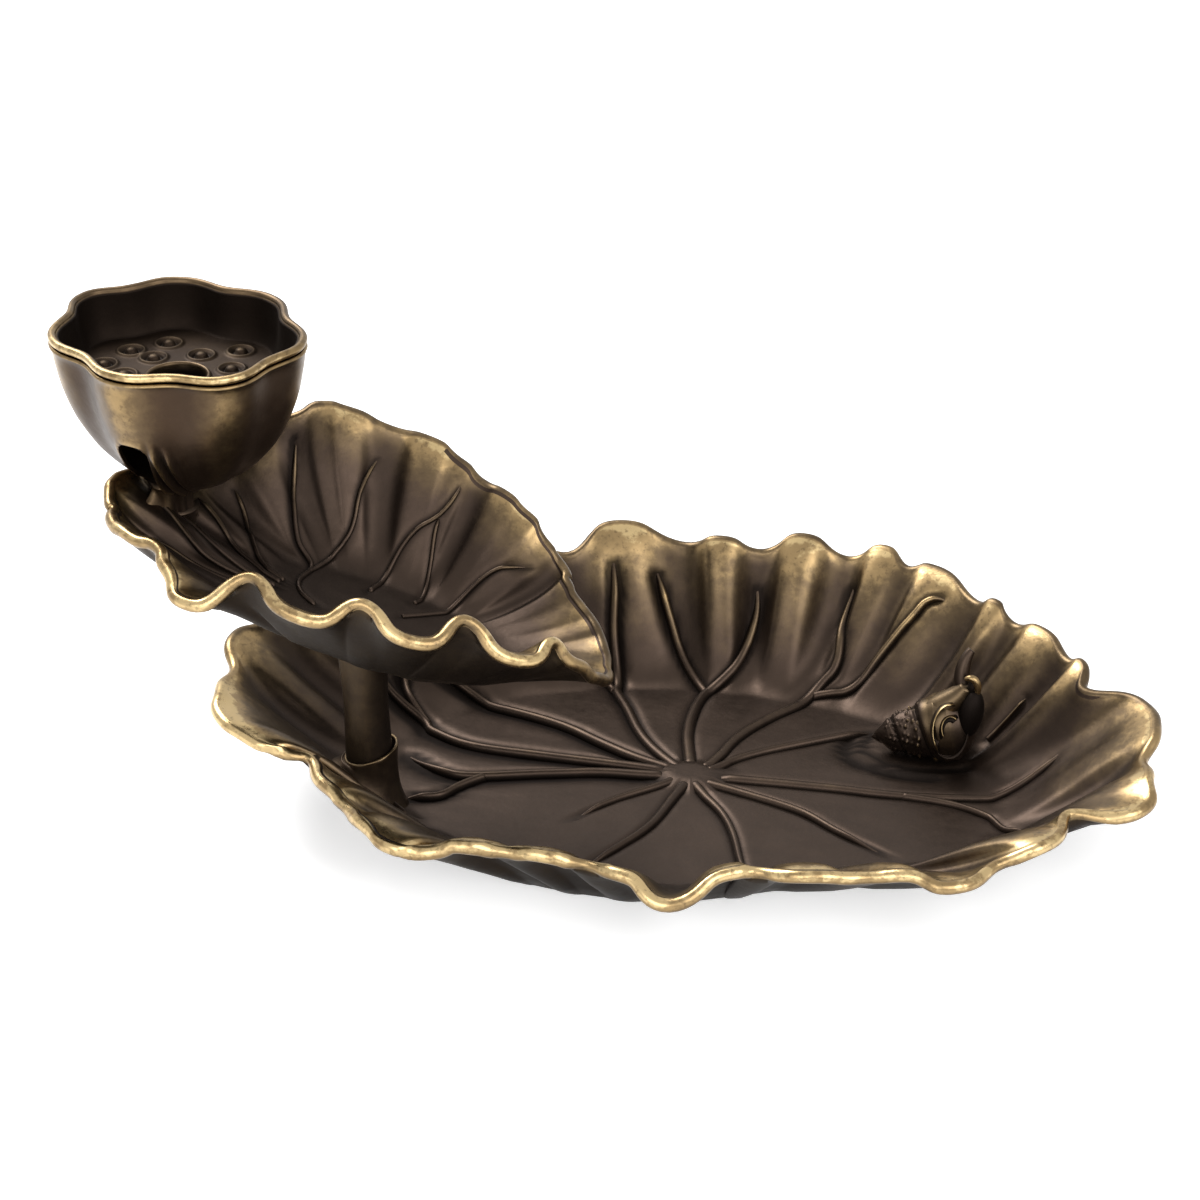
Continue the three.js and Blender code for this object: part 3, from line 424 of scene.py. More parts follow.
# Joins parts into one piece that stands for a node
def makePiece(parts, body, replaced):
    obj = parts[0]
    if len(parts) > 1:
        with bpy.context.temp_override(active_object=obj, selected_editable_objects=parts):
            bpy.ops.object.join()
    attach(obj, body)
    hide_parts(replaced)
    print(obj.name, "made:", len(obj.data.polygons), "faces")


# Leaves

leafShape = {"floorPull": 0.7, "lipPull": 0.9, "crestBreadth": 1.3, "rounding": 0.16}

dish = {
    "halfLength": 73,
    "halfWidth": 44,
    "centre": (-1, -0.5),
    "floorHalfLength": 47.7,
    "floorHalfWidth": 29.2,
    "floorCentre": (0.7, -3.3),
    "floorDrawn": (0.2, 300, 26),
    "meander": 0.35,
    "floorTop": 3,
    "floorThickness": 3,
    "wall": 1.8,
    "bulge": 1.1,
    "bead": 0.95,
    "hub": (5.9, 3.9, 0.62),
    "frontTurn": 0,
    "roll": (246, 24, 0.42),
    "patch": 9.5,
    "patchWear": 0.64,
    "wallWear": 0.10,
    "floorShade": 0.0,
    "veinWear": 0.15,
    "columns": 640,
    "tilt": 0,
    "origin": (0, 0, 0),
    # turn in degrees, way out of the oval, height, rise of the lip
    "edge": [
        (0, 0.5, 20, 30), (10, -0.5, 20, 40), (21, -7.4, 18.5, 65), (27, -4.6, 21, 35),
        (31, -5.6, 20, 65), (39, -3.4, 22, 35), (45, -3.6, 20.3, 60), (49, -2.4, 23, 40),
        (53, -2, 21, 60), (61, 2.6, 23.2, 30), (65, 1.6, 22, 55), (69, 4.2, 24, 35),
        (73.5, 2.4, 21, 60), (79.5, 2, 25, 30), (84.5, -1.2, 22, 65), (90, -2.2, 25, 35),
        (95.5, -1.6, 22.5, 60), (104.5, 0, 26, 30), (111.5, -5.5, 22, 65), (121, -1, 25, 30),
        (131, -4.5, 22, 65), (141, 0.5, 24.5, 30), (150, -3, 21.5, 65), (160, 1.5, 23, 30),
        (169, -2, 20.5, 65), (178, 1.5, 21, 30), (187, -0.9, 19, 60), (196, 2.2, 20, 30),
        (204, 4.4, 19.5, 10), (212, 2.2, 17.8, -10), (217, -5.4, 15.2, 60), (225, -1.2, 15, 10),
        (230.5, -0.4, 14.2, 45), (235, 3, 14.5, 0), (240.5, 5.6, 13.6, -20), (244, 2, 13, 35),
        (248.5, 1.2, 14.4, -5), (253, -2.2, 13.5, 45), (258, -1.4, 14, 0), (263, -4, 12.5, 60),
        (268, -1.2, 13, 20), (273.5, 1.8, 10.5, 30), (280.5, -2.6, 13.5, 0), (284, -4.8, 13, 60),
        (290, -1, 14, -5), (297, -2.6, 13, 45), (302.5, -0.4, 13.8, 10), (307.5, 3, 13, 10),
        (315, -0.7, 13.5, 50), (322, 1.8, 15.8, 0), (330.5, -4, 16, 65), (338.5, 5, 17, 0),
        (345, 2.2, 19, 25), (352, -1.2, 18, 60),
    ],
    # veins: half width of the ridge at its start and end, groove widths left and right of it at the
    # start and the end, then the way and turn of each place on its route
    "ridgeHeight": 0.62,
    "grooveDepth": 0.50,
    "boss": (-48.3, -17.1, 1.7, 7.0, 3.4),
    "veins": [
        ((0.85, 0.65), (0.4, 0.9, 0.5, 0.9),
         [(0.06, 122), (0.30, 119), (0.71, 112.5), (1.03, 110.5), (1.42, 108), (1.64, 106),
          (1.84, 105.3)]),
        ((0.65, 0.4), (0.5, 0.4, 0.5, 0.4),
         [(1.0, 111), (1.28, 114), (1.37, 118), (1.6, 121)]),
        ((0.95, 0.7), (0.4, 0.6, 0.4, 0.6),
         [(0.08, 95), (0.40, 96.5), (0.72, 94.8), (1.02, 92), (1.30, 86.7), (1.59, 84.5),
          (1.88, 85)]),
        ((0.75, 0.6), (0.6, 0.9, 0.5, 0.7),
         [(1.0, 92), (1.30, 96.3), (1.57, 98), (1.80, 99.2)]),
        ((0.85, 0.7), (0.4, 0.6, 0.4, 0.6),
         [(0.08, 68), (0.28, 73.5), (0.55, 76.5), (1.15, 71.6), (1.35, 69.4), (1.62, 71.6),
          (1.93, 72)]),
        ((0.7, 0.55), (0.4, 0.7, 0.4, 0.6),
         [(1.12, 71.6), (1.26, 65), (1.65, 61), (1.79, 59.6), (1.88, 56.1)]),
        ((0.75, 0.5), (0.35, 0.4, 0.35, 0.4),
         [(0.08, 52), (0.19, 58), (0.30, 60.3), (0.60, 56), (0.83, 53.7), (0.97, 52)]),
        ((0.85, 0.4), (0.4, 0.4, 0.45, 0.4),
         [(0.08, 8), (0.47, 6.9), (0.70, 5.8), (1.09, 10), (1.38, 12.2), (1.62, 15.8)]),
        ((0.65, 0.4), (0.4, 0.3, 0.4, 0.3),
         [(0.70, 5.8), (0.90, 2.5), (1.14, 352), (1.35, 348)]),
        ((0.85, 0.45), (0.4, 0.35, 0.4, 0.35),
         [(0.08, 322), (0.20, 330), (0.43, 332.2), (0.67, 326.2), (0.98, 324)]),
        ((0.85, 0.45), (0.4, 0.35, 0.4, 0.35),
         [(0.08, 288), (0.22, 291), (0.42, 293.5), (0.85, 288), (1.15, 287)]),
        ((0.9, 0.45), (0.4, 0.3, 0.4, 0.3),
         [(0.08, 262), (0.20, 260), (0.45, 259.5), (0.72, 255.5), (1.0, 252)]),
        ((0.75, 0.35), (0.3, 0.2, 0.35, 0.2),
         [(0.08, 228), (0.15, 231), (0.34, 230.5), (0.62, 234)]),
        ((0.75, 0.6), (1.3, 1.8, 0.5, 0.8),
         [(0.08, 188), (0.27, 182.5), (0.45, 186), (0.72, 189.7), (0.85, 186.1), (1.03, 172)]),
        ((0.6, 0.5), (1.0, 1.0, 0.7, 0.9),
         [(0.70, 190), (0.80, 197), (0.89, 202.4), (1.02, 200.8)]),
        ((0.8, 0.6), (1.2, 1.9, 0.6, 0.9),
         [(0.08, 158), (0.30, 164), (0.54, 166.3), (0.80, 166.3), (1.06, 159), (1.35, 158),
          (1.62, 151)]),
        ((0.65, 0.45), (1.2, 1.3, 0.6, 0.8),
         [(1.04, 159), (1.28, 155), (1.47, 149), (1.6, 146)]),
        ((0.85, 0.6), (1.0, 1.5, 0.6, 0.6),
         [(0.08, 138), (0.23, 141), (0.45, 138), (0.69, 136.1), (1.09, 141), (1.39, 144.6),
          (1.6, 146)]),
        ((0.5, 0.35), (0.5, 0.3, 0.4, 0.3),
         [(1.30, 203), (1.20, 210), (1.24, 220)]),
        ((0.28, 0.25), (0.4, 0.3, 0.3, 0.3),
         [(1.31, 31.6), (1.48, 32.4), (1.68, 33)]),
    ],
    # creases without a ridge, round the snail
    "creases": [
        ((0.3, 0.3), (0.5, 0.5, 0.5, 0.5),
         [(0.93, 52), (0.80, 47), (0.74, 38), (0.80, 28), (0.95, 26), (1.12, 29)]),
        ((0.2, 0.2), (0.9, 0.9, 0.9, 0.9),
         [(0.80, 52), (0.70, 46), (0.65, 36), (0.72, 25), (0.90, 20)]),
    ],
}

upperLeaf = {
    "halfLength": 41,
    "halfWidth": 24,
    "centre": (-2.5, 3),
    "floorHalfLength": 19,
    "floorHalfWidth": 10,
    "floorCentre": (1, 1),
    "floorDrawn": (0, 0, 30),
    "meander": 0.5,
    "floorTop": 0,
    "floorThickness": 1.8,
    "wall": 1.8,
    "bulge": 0.8,
    "bead": 0.98,
    "hub": (0.1, 0.1, 0.0),
    "frontTurn": 12,
    "roll": (0, 1, 0.0),
    "patch": 6.2,
    "patchWear": 0.64,
    "wallWear": 0.01,
    "floorShade": 0.42,
    "veinWear": 0.10,
    "columns": 560,
    "tilt": 16,
    "origin": (-48.3, -17.1, 36.5),
    "edge": [
        (0, -0.9, 5, 10), (11, -2.3, 6.1, 35), (21, -3, 7.1, 40), (31, -3.8, 8, 45),
        (39, -3.5, 9.2, 50), (44, -2.4, 10, 65), (51, -2.4, 12.2, 45), (58, -2.2, 15, 35),
        (66, -1.9, 16.4, 40), (72.5, -1.7, 16, 62), (79, -0.4, 17.5, 40), (87, 0.8, 18.8, 30),
        (96, 0.3, 18.2, 60), (106, 1.6, 19.2, 30), (112, 1.4, 19.1, 40), (118.5, -0.6, 16.6, 65),
        (128, 0.5, 13.5, 30), (138, -1.5, 8.5, 60), (148, -0.5, 6.4, 30), (158, -1.5, 5.8, 55),
        (168, -0.2, 6.9, 25), (176, 0.2, 6.7, 20), (185, -1.2, 5.8, 45), (191, -2.4, 5.4, 60),
        (198, -1.2, 5.6, 30), (210, -1.8, 6.8, 40), (222, -3.2, 8, 50), (231, -0.8, 7, 20),
        (240, 2.6, 5.8, -10), (249.5, -3.2, 12.5, 60), (264.5, 1, 11.2, 10), (275, -2.7, 15.4, 60),
        (288, 1.3, 13.0, 10), (298, -4.2, 15.9, 60), (313.5, -0.6, 11.4, 10),
        (325, -4.6, 12.7, 60), (338, -2.2, 8.8, 35), (347, -0.6, 6, 20), (354, 0.2, 4.7, 10),
    ],
    "ridgeHeight": 0.34,
    "grooveDepth": 0.30,
    "boss": (-80.31, -7.5, 44.12, 48.5, 3.15),
    "veins": [
        ((0.42, 0.4), (0.35, 0.7, 0.35, 0.3),
         [(0.42, 191), (0.93, 133.2), (1.28, 128.1), (1.64, 119.9), (1.93, 116.8)]),
        ((0.4, 0.35), (0.4, 0.4, 0.3, 0.3),
         [(0.93, 133.2), (1.29, 109), (1.58, 102.3), (1.86, 96.1)]),
        ((0.4, 0.35), (0.4, 0.4, 0.3, 0.3),
         [(0.75, 98), (1.33, 88.4), (1.64, 78.8), (1.92, 75.9)]),
        ((0.35, 0.35), (0.3, 0.3, 0.3, 0.3),
         [(0.85, 72), (1.15, 73.8), (1.50, 78.5), (1.64, 78.8)]),
        ((0.4, 0.35), (0.3, 0.3, 0.35, 0.4),
         [(0.45, 58), (0.62, 57.9), (1.42, 57.3), (1.85, 47)]),
        ((0.4, 0.35), (0.4, 0.4, 0.3, 0.3),
         [(0.8, 162), (1.14, 154.6), (1.51, 138.4), (1.77, 134.9)]),
        ((0.4, 0.35), (0.4, 0.4, 0.3, 0.3),
         [(0.8, 168), (1.16, 160.6), (1.55, 149.4), (1.78, 147.7)]),
        ((0.4, 0.35), (0.4, 0.4, 0.3, 0.3),
         [(0.8, 178), (1.3, 172), (1.55, 165), (1.8, 161)]),
        ((0.4, 0.35), (0.3, 0.4, 0.3, 0.3),
         [(0.9, 196), (1.3, 190), (1.7, 186)]),
        ((0.4, 0.35), (0.4, 0.4, 0.3, 0.3),
         [(0.9, 182), (1.35, 181), (1.62, 172), (1.8, 168)]),
    ],
    "creases": [],
}


# The closed edge at places counted in stations: turn, out, up and lip, angles in radians. Lobes are
# broad at their crests and narrow at the notches between them
def edgeRaw(leaf, places):
    table = np.array(leaf["edge"], float)
    count = len(table)
    first = np.floor(places).astype(int)
    f = places - first
    near = []
    for step in (-1, 0, 1, 2):
        i = first + step
        station = table[i % count].copy()
        station[..., 0] += 360 * (i // count)
        near.append(station)
    a, b, c, d = near
    leavesCrest = b[..., 3] < c[..., 3]
    broad = leafShape["crestBreadth"]
    shaped = np.where(leavesCrest, f**broad, 1 - (1 - f) ** broad)
    turned = f + leaf["meander"] / (2 * pi) * np.sin(2 * pi * f)

    value = curveBetween(a, b, c, d, shaped[..., None])
    value[..., 0] = curveBetween(a, b, c, d, turned[..., None])[..., 0]
    return value


def edgeAt(leaf, places):
    reach = leafShape["rounding"]
    before, after = edgeRaw(leaf, places - reach), edgeRaw(leaf, places + reach)
    value = (before + 2 * edgeRaw(leaf, places) + after) / 4
    return np.radians(value[..., 0]), value[..., 1], value[..., 2], np.radians(value[..., 3])


# The level way out of a leaf's oval, and the way that its lip points
def lipWays(leaf, turn, lip):
    level = [np.cos(turn) / leaf["halfLength"], np.sin(turn) / leaf["halfWidth"], 0 * turn]
    outward = unit(np.stack(level, -1))
    lipWay = outward * np.cos(lip)[..., None]
    lipWay[..., 2] = np.sin(lip)
    return outward, lipWay


# Points on the upper skin of a leaf: way 0 is the hub, 1 the edge of the floor, 2 the rim
def leafPoints(leaf, places, ways):
    turn, out, up, lip = edgeAt(leaf, places)
    ways = np.broadcast_to(ways, turn.shape)
    zero = np.zeros_like(turn)
    drawn, drawnTurn, drawnWidth = leaf["floorDrawn"]
    away = (np.degrees(turn) - drawnTurn + 180) % 360 - 180
    reach = 1 - drawn * peak(away, drawnWidth)
    foot = np.stack([
        leaf["floorCentre"][0] + leaf["floorHalfLength"] * reach * np.cos(turn),
        leaf["floorCentre"][1] + leaf["floorHalfWidth"] * reach * np.sin(turn),
        zero,
    ], -1)
    outward, lipWay = lipWays(leaf, turn, lip)
    rim = np.stack([
        leaf["centre"][0] + leaf["halfLength"] * np.cos(turn),
        leaf["centre"][1] + leaf["halfWidth"] * np.sin(turn),
        zero,
    ], -1) + outward * out[..., None]
    rim[..., 2] = up - (leaf["floorTop"] if leaf is dish else 0)
    span = np.linalg.norm(rim - foot, axis=-1, keepdims=True)
    start = outward * span * leafShape["floorPull"]
    end = lipWay * span * leafShape["lipPull"]
    t = np.clip(ways - 1, 0, 1)[..., None]
    wall = foot * (1 + 2 * t) * (1 - t) ** 2 + start * t * (1 - t) ** 2
    wall = wall + rim * t * t * (3 - 2 * t) + end * t * t * (t - 1)
    floor = foot * np.clip(ways, 0, 1)[..., None]
    return np.where((ways <= 1)[..., None], floor, wall)


# Distance from points to a line, the share of it up to the nearest place, and the side
def nearLine(points, line):
    best = np.full(len(points), 1e9)
    share = np.zeros(len(points))
    side = np.ones(len(points))
    lengths = np.linalg.norm(np.diff(line, axis=0), axis=1)
    travelled = np.concatenate([[0], np.cumsum(lengths)])
    for i, length in enumerate(lengths):
        way = line[i + 1] - line[i]
        t = np.clip((points - line[i]) @ way / length**2, 0, 1)
        apart = points - line[i] - t[:, None] * way
        distance = np.linalg.norm(apart, axis=1)
        closer = distance < best
        best[closer] = distance[closer]
        share[closer] = ((travelled[i] + t * length) / travelled[-1])[closer]
        side[closer] = np.sign(way[0] * apart[:, 1] - way[1] * apart[:, 0])[closer]
    return best, share, side


# Places and ways along a smooth line through chosen [way, turn] places on a leaf
def veinPlaces(leaf, route, steps):
    count = len(leaf["edge"])
    stations = np.arange(-count, 2 * count, 0.1)
    turns = np.degrees(edgeAt(leaf, stations)[0])
    knots = np.array(route, float)
    for i in range(1, len(knots)):
        while knots[i, 1] - knots[i - 1, 1] > 180:
            knots[i, 1] -= 360
        while knots[i, 1] - knots[i - 1, 1] < -180:
            knots[i, 1] += 360
    ends = np.vstack([2 * knots[0] - knots[1], knots, 2 * knots[-1] - knots[-2]])
    t = np.linspace(0, len(knots) - 1, steps)
    first = np.minimum(t.astype(int), len(knots) - 2)
    ways, routeTurns = curveBetween(*(ends[first + k] for k in range(4)), (t - first)[:, None]).T
    return np.interp(routeTurns, turns, stations), np.clip(ways, 0, 1.99)


# How crested each place of the edge is, from 0 at a notch to 1
def crestAt(leaf, places):
    notchLip, lipSpan = np.radians(62), np.radians(50)
    return np.clip((notchLip - edgeAt(leaf, places)[3]) / lipSpan, 0, 1)


# Points on the upper skin with the swelling of the wall, and the direction square to the skin
def leafFrames(leaf, places, ways):
    places, ways = np.broadcast_arrays(places, ways)
    step = 0.01
    point = leafPoints(leaf, places, ways)
    across = leafPoints(leaf, places + step, ways) - leafPoints(leaf, places - step, ways)
    inner = leafPoints(leaf, places, np.maximum(ways - step, 1))
    outer = leafPoints(leaf, places, np.clip(ways + step, 1.01, 2))
    normal = unit(np.cross(outer - inner, across))
    normal = np.where((ways <= 1)[..., None], np.array([0, 0, 1.0]), normal)
    t = np.clip(ways - 1, 0, 1)
    swell = leaf["bulge"] * (4 * t * (1 - t)) ** 1.3 * (crestAt(leaf, places) - 0.35)
    return point + normal * swell[..., None], normal


# From a leaf's own frame to its place on the piece
def placeLeaf(leaf, points):
    turnBy = np.array(Matrix.Rotation(radians(leaf["tilt"]), 3, "Y"))
    return (points + (0, 0, leaf["floorTop"])) @ turnBy.T + np.array(leaf["origin"], float)


# Troughs that the veins stand in: how deep, as a share, at each point of the skin
def veinTrough(leaf, points):
    flat = points.reshape(-1, 3)
    trough = np.zeros(len(flat))
    for widths, trenches, route in leaf["veins"] + leaf["creases"]:
        line = leafPoints(leaf, *veinPlaces(leaf, route, 60))
        near = np.nonzero(((flat > line.min(0) - 5) & (flat < line.max(0) + 5)).all(1))[0]
        distance, share, side = nearLine(flat[near], line)
        trench = np.where(side > 0, blend(*trenches[:2], share), blend(*trenches[2:], share))
        beside = np.maximum(distance - blend(*widths, share) * 0.7, 0)
        cut = peak(beside, trench * 1.2 + 0.25) * (1 - smooth(share, 0.9, 1.0))
        trough[near] = np.maximum(trough[near], cut * np.clip(trench / 0.6, 0.5, 1.4))
    return trough.reshape(points.shape[:-1])


# One vein: a rounded strip with steep sides, thin at its far end
def veinSkin(leaf, vein):
    def shape(columns, rows):
        widths, _, route = vein
        places, ways = veinPlaces(leaf, route, rows)
        centre, normal = leafFrames(leaf, places, ways)
        side = unit(np.cross(normal, np.gradient(centre, axis=0)))
        share = np.linspace(0, 1, rows)
        fade = (smooth(share, 0, 0.02) * (1 - smooth(share, 0.78, 1.0)))[:, None]
        width = blend(*widths, share) * (1.12 - 0.75 * smooth(share, 0.75, 1.0))
        trench = leaf["grooveDepth"]
        turn = turnsRound(columns)
        rise = np.sin(turn)[None]
        rounded = np.clip(rise, 0, 1) ** 0.75
        above = (leaf["ridgeHeight"] + trench) * fade * rounded + np.minimum(rise, 0) * 0.5
        above = above - trench - 0.25 * (1 - fade)
        above[[0, -1]] = -trench - 0.3
        out = width[:, None] * np.cos(turn)[None]
        out[[0, -1]] = 0
        points = centre[:, None] + side[:, None] * out[..., None]
        points = points + normal[:, None] * above[..., None]
        onWall = smooth(ways, 1.25, 1.8)[:, None]
        wear = leaf["veinWear"] * rounded * (1 + 3.2 * onWall) * fade
        return placeLeaf(leaf, points), wear, (1 - smooth(rise, 0.08, 0.62)) * 0.9

    return shape


# Rows of a leaf's skin: under it, round the rim, down the wall and over the floor
leafRows = {
    "underWays": (0, 0.3, 0.6, 0.85, 1.0, 1.12, 1.25, 1.4, 1.55, 1.7, 1.84, 1.95),
    "rim": 9,
    "wall": 52,
    "floor": 24,
    "wallReach": 0.957,
}
bossGrid = (64, 24)
veinGrid = (18, 72)

# How rubbed and how black the parts of a leaf are, with painted light on the front of the rim and
# painted shade in the valleys and underneath
leafPatinaAndPaintedLight = {
    "under": (0.26, 0.20),
    "underShade": (0.80, 0.10),
    "rim": (0.50, 0.46),
    "band": 0.60,
    "bandWidth": (1.1, 1.5),
    "patchFoot": 0.14,
    "valleyShade": 0.38,
    "grooveBlack": 0.92,
}


def leafSkin(leaf):
    def shape(columns, rows):
        places = np.arange(columns) / columns * len(leaf["edge"])
        floorWays = np.linspace(0, 1, leafRows["floor"] + 1)[:-1]
        wallWays = 1 + leafRows["wallReach"] * np.linspace(0, 1, leafRows["wall"]) ** 0.95
        upperWays = np.concatenate([floorWays, wallWays])[:, None]
        underWays = np.array(leafRows["underWays"])[:, None]
        turn, _, _, lip = edgeAt(leaf, places)
        crest = crestAt(leaf, places)

        upper, normals = leafFrames(leaf, places[None], upperWays)
        trough = veinTrough(leaf, leafPoints(leaf, *np.broadcast_arrays(places[None], upperWays)))
        halfLong, halfWide, hubHeight = leaf["hub"]
        hub = 1 - smooth(np.hypot(upper[..., 0] / halfLong, upper[..., 1] / halfWide), 0.78, 1.12)
        trough = trough * (1 - hub)
        rimFade = 1 - smooth(upperWays, 1.88, 1.955)
        cast = castRelief(upper, "leaf") * smooth(upperWays, 0.1, 0.3)
        height = hubHeight * hub - leaf["grooveDepth"] * trough + cast
        top = upper + normals * (height * rimFade)[..., None]

        under, underNormals = leafFrames(leaf, places[None], underWays)
        thick = blend(leaf["floorThickness"], leaf["wall"], np.clip((underWays - 1) * 3, 0, 1))
        bottom = under - underNormals * thick[..., None]

        lipWay = lipWays(leaf, turn, lip)[1]
        rimPoint, rimNormal = leafFrames(leaf, places, np.full(columns, 2.0))
        front = smooth(-np.sin(turn + radians(leaf["frontTurn"])), -0.15, 0.35)
        crested = np.clip(crest / 0.6, 0, 1)
        rollTurn, rollWidth, roll = leaf["roll"]
        rolled = roll * peak(np.degrees(turn) % 360 - rollTurn, rollWidth)
        bead = leaf["bead"] * (1 + (0.26 * crested - 0.16) * front + rolled * (crested - 0.6))
        bead = bead[:, None]
        middle = rimPoint - rimNormal * leaf["wall"] / 2 - lipWay * (bead - 0.45 * leaf["bead"])
        angles = np.radians(np.linspace(-105, 95, leafRows["rim"]))
        rim = [middle + bead * (np.cos(a) * lipWay + np.sin(a) * rimNormal) for a in angles]
        points = placeLeaf(leaf, np.concatenate([bottom, np.array(rim), top[::-1]]))

        # rubbed rim, lighter in front as painted light and darker on the bead's underside as
        # painted shade, a band beside it in front, and patches on the crests
        reach = np.linalg.norm(upper - rimPoint, axis=-1) - leaf["bead"]
        back = smooth(np.sin(turn), 0.0, 0.55)
        onWall = smooth(upperWays, 1.1, 1.5)
        bandNarrow, bandCrest = leafPatinaAndPaintedLight["bandWidth"]
        band = leafPatinaAndPaintedLight["band"] * peak(reach, bandNarrow + bandCrest * crested * front, 1.5)
        band = band * (0.30 + 0.70 * front)
        patch = leaf["patchWear"] * crested * (0.70 + 0.30 * back) * (1 - 0.30 * front)
        patch = (patch + leafPatinaAndPaintedLight["patchFoot"]) * peak(reach, leaf["patch"], 1.4)
        patch = patch + leaf["wallWear"] * (0.5 + crested) * onWall
        wearTop = (band + patch) * smooth(upperWays, 1.05, 1.4)
        worn, wornEdge = leafPatinaAndPaintedLight["under"]
        wearUnder = worn + wornEdge * smooth(underWays, 1.8, 1.98) + 0 * crest
        # the rim's front is painted lighter as painted light, and the bead's underside darker as
        # painted shade
        rimAll, paintedFrontLight = leafPatinaAndPaintedLight["rim"]
        wearRim = (rimAll + paintedFrontLight * front) * (0.62 + 0.38 * smooth(angles, -1.3, 0.1))[:, None]

        # black patina in the troughs; painted shade in the valleys of the wall, on the upper leaf's
        # floor and on the underside
        valley = leafPatinaAndPaintedLight["valleyShade"] * (1 - crested) * onWall
        valley = valley + leaf["floorShade"] * (1 - smooth(upperWays, 0.9, 1.35))
        trenches = leafPatinaAndPaintedLight["grooveBlack"] * smooth(trough, 0.15, 0.75)
        hollow = np.maximum(trenches, valley) * rimFade
        # painted shade over the whole underside, deepest under the floor
        black, floorUnderShade = leafPatinaAndPaintedLight["underShade"]
        underShade = black + floorUnderShade * (1 - smooth(underWays, 1.3, 1.9)) + 0 * crest
        wear = np.concatenate([wearUnder, wearRim, wearTop[::-1]])
        return points, wear, np.concatenate([underShade, 0 * wearRim, hollow[::-1]])

    return shape


# A round pad under a leaf, for the head of its screw to bear on
def bossSkin(boss):
    def shape(columns, rows):
        x, y, low, high, radius = boss
        rounding = 0.4
        profile = [(0, low), (radius - rounding - 0.3, low)]
        profile += [(radius + rounding * (cos(a) - 1), low + rounding * (1 - sin(a)))
                    for a in np.radians(np.linspace(90, 0, 6))]
        profile += [(radius + 0.6 * share**3, blend(low + rounding, high, share))
                    for share in np.linspace(0.05, 1, rows - len(profile) - 1)]
        profile.append((0, high))
        turn = turnsRound(columns)
        return np.array([ring((x, y), turn, reach, height) for reach, height in profile]), 0.2, 0.3

    return shape


skinRows = len(leafRows["underWays"]) + leafRows["rim"] + leafRows["wall"] + leafRows["floor"]
for leaf, name, slot, node in ((dish, "dish", "dish_brass", "dish_leaf"),
                               (upperLeaf, "leaf", "leaf_brass", "upper_leaf")):
    parts = [bentGrid(name, (leaf["columns"], skinRows), leafSkin(leaf), leafBrass)]
    parts.append(bentGrid(name + "Boss", bossGrid, bossSkin(leaf["boss"]), leafBrass))
    for vein in leaf["veins"]:
        parts.append(bentGrid(name + "Vein", veinGrid, veinSkin(leaf, vein), leafBrass))
    makePiece(parts, "base", node)

# Lotus pod: an oval bowl with soft notches that are deepest at its rim

pod = {
    "centre": (-78.6, -5.5),
    "halfLength": 21.2,
    "halfWidth": 18.3,
    "turned": -33,
    "rim": 78,
    "floor": 53.4,
    "bottomDrop": 1.6,
    "notches": [23, 80, 132, 172, 228, 285, 332],
    "notchDepth": 1.95,
    "wall": 0.75,
    "floorThickness": 1.6,
    "bead": 0.66,
    "linerGap": 0.25,
    "linerWall": 0.5,
    "linerDrop": 8,
    "hole": 4.35,
    "holeShift": (-0.05, -1.3),
    "grid": (480, 72),
    "linerGrid": (480, 119),
}

outlet = {
    "centre": -82.0,
    "halfWidth": 2.5,
    "spring": 62.5,
    "crown": 2.5,
    "square": 2.5,
    "sill": 55.02,
    "lip": 0.3,
    "foldWidth": 2.3,
    "foldPitch": 1.9,
}

# How rubbed the pod's outside is, and how much its notches, its foot and its right side are
# darkened as painted shade
podPatinaAndPaintedShade = {"wall": 0.69, "notch": 0.64, "foot": 0.26, "right": 0.16, "top": 0.30, "edge": 0.75}


def notchAt(turn):
    degrees = (np.degrees(turn) - pod["notches"][0]) % 360
    turns = np.array([notch - pod["notches"][0] for notch in pod["notches"]] + [360], float)
    i = np.clip(np.searchsorted(turns, degrees, side="right") - 1, 0, len(turns) - 2)
    share = (degrees - turns[i]) / (turns[i + 1] - turns[i])
    return (0.5 + 0.5 * np.cos(2 * pi * share)) ** 1.3


def podReach(turn, height):
    depth = pod["rim"] - pod["floor"] + pod["bottomDrop"]
    drop = (pod["rim"] - height) / depth
    fromLong = turn - radians(pod["turned"])
    oval = 1 / np.hypot(np.cos(fromLong) / pod["halfLength"], np.sin(fromLong) / pod["halfWidth"])
    rise = np.clip((height - pod["floor"]) / (pod["rim"] - pod["floor"]), 0, 1)
    notch = pod["notchDepth"] * notchAt(turn) * np.sqrt(rise)
    return oval * np.sqrt(np.clip(1 - drop * drop, 0, 1)) - notch


podShellTop = pod["rim"] - 2 * pod["bead"] - 0.3


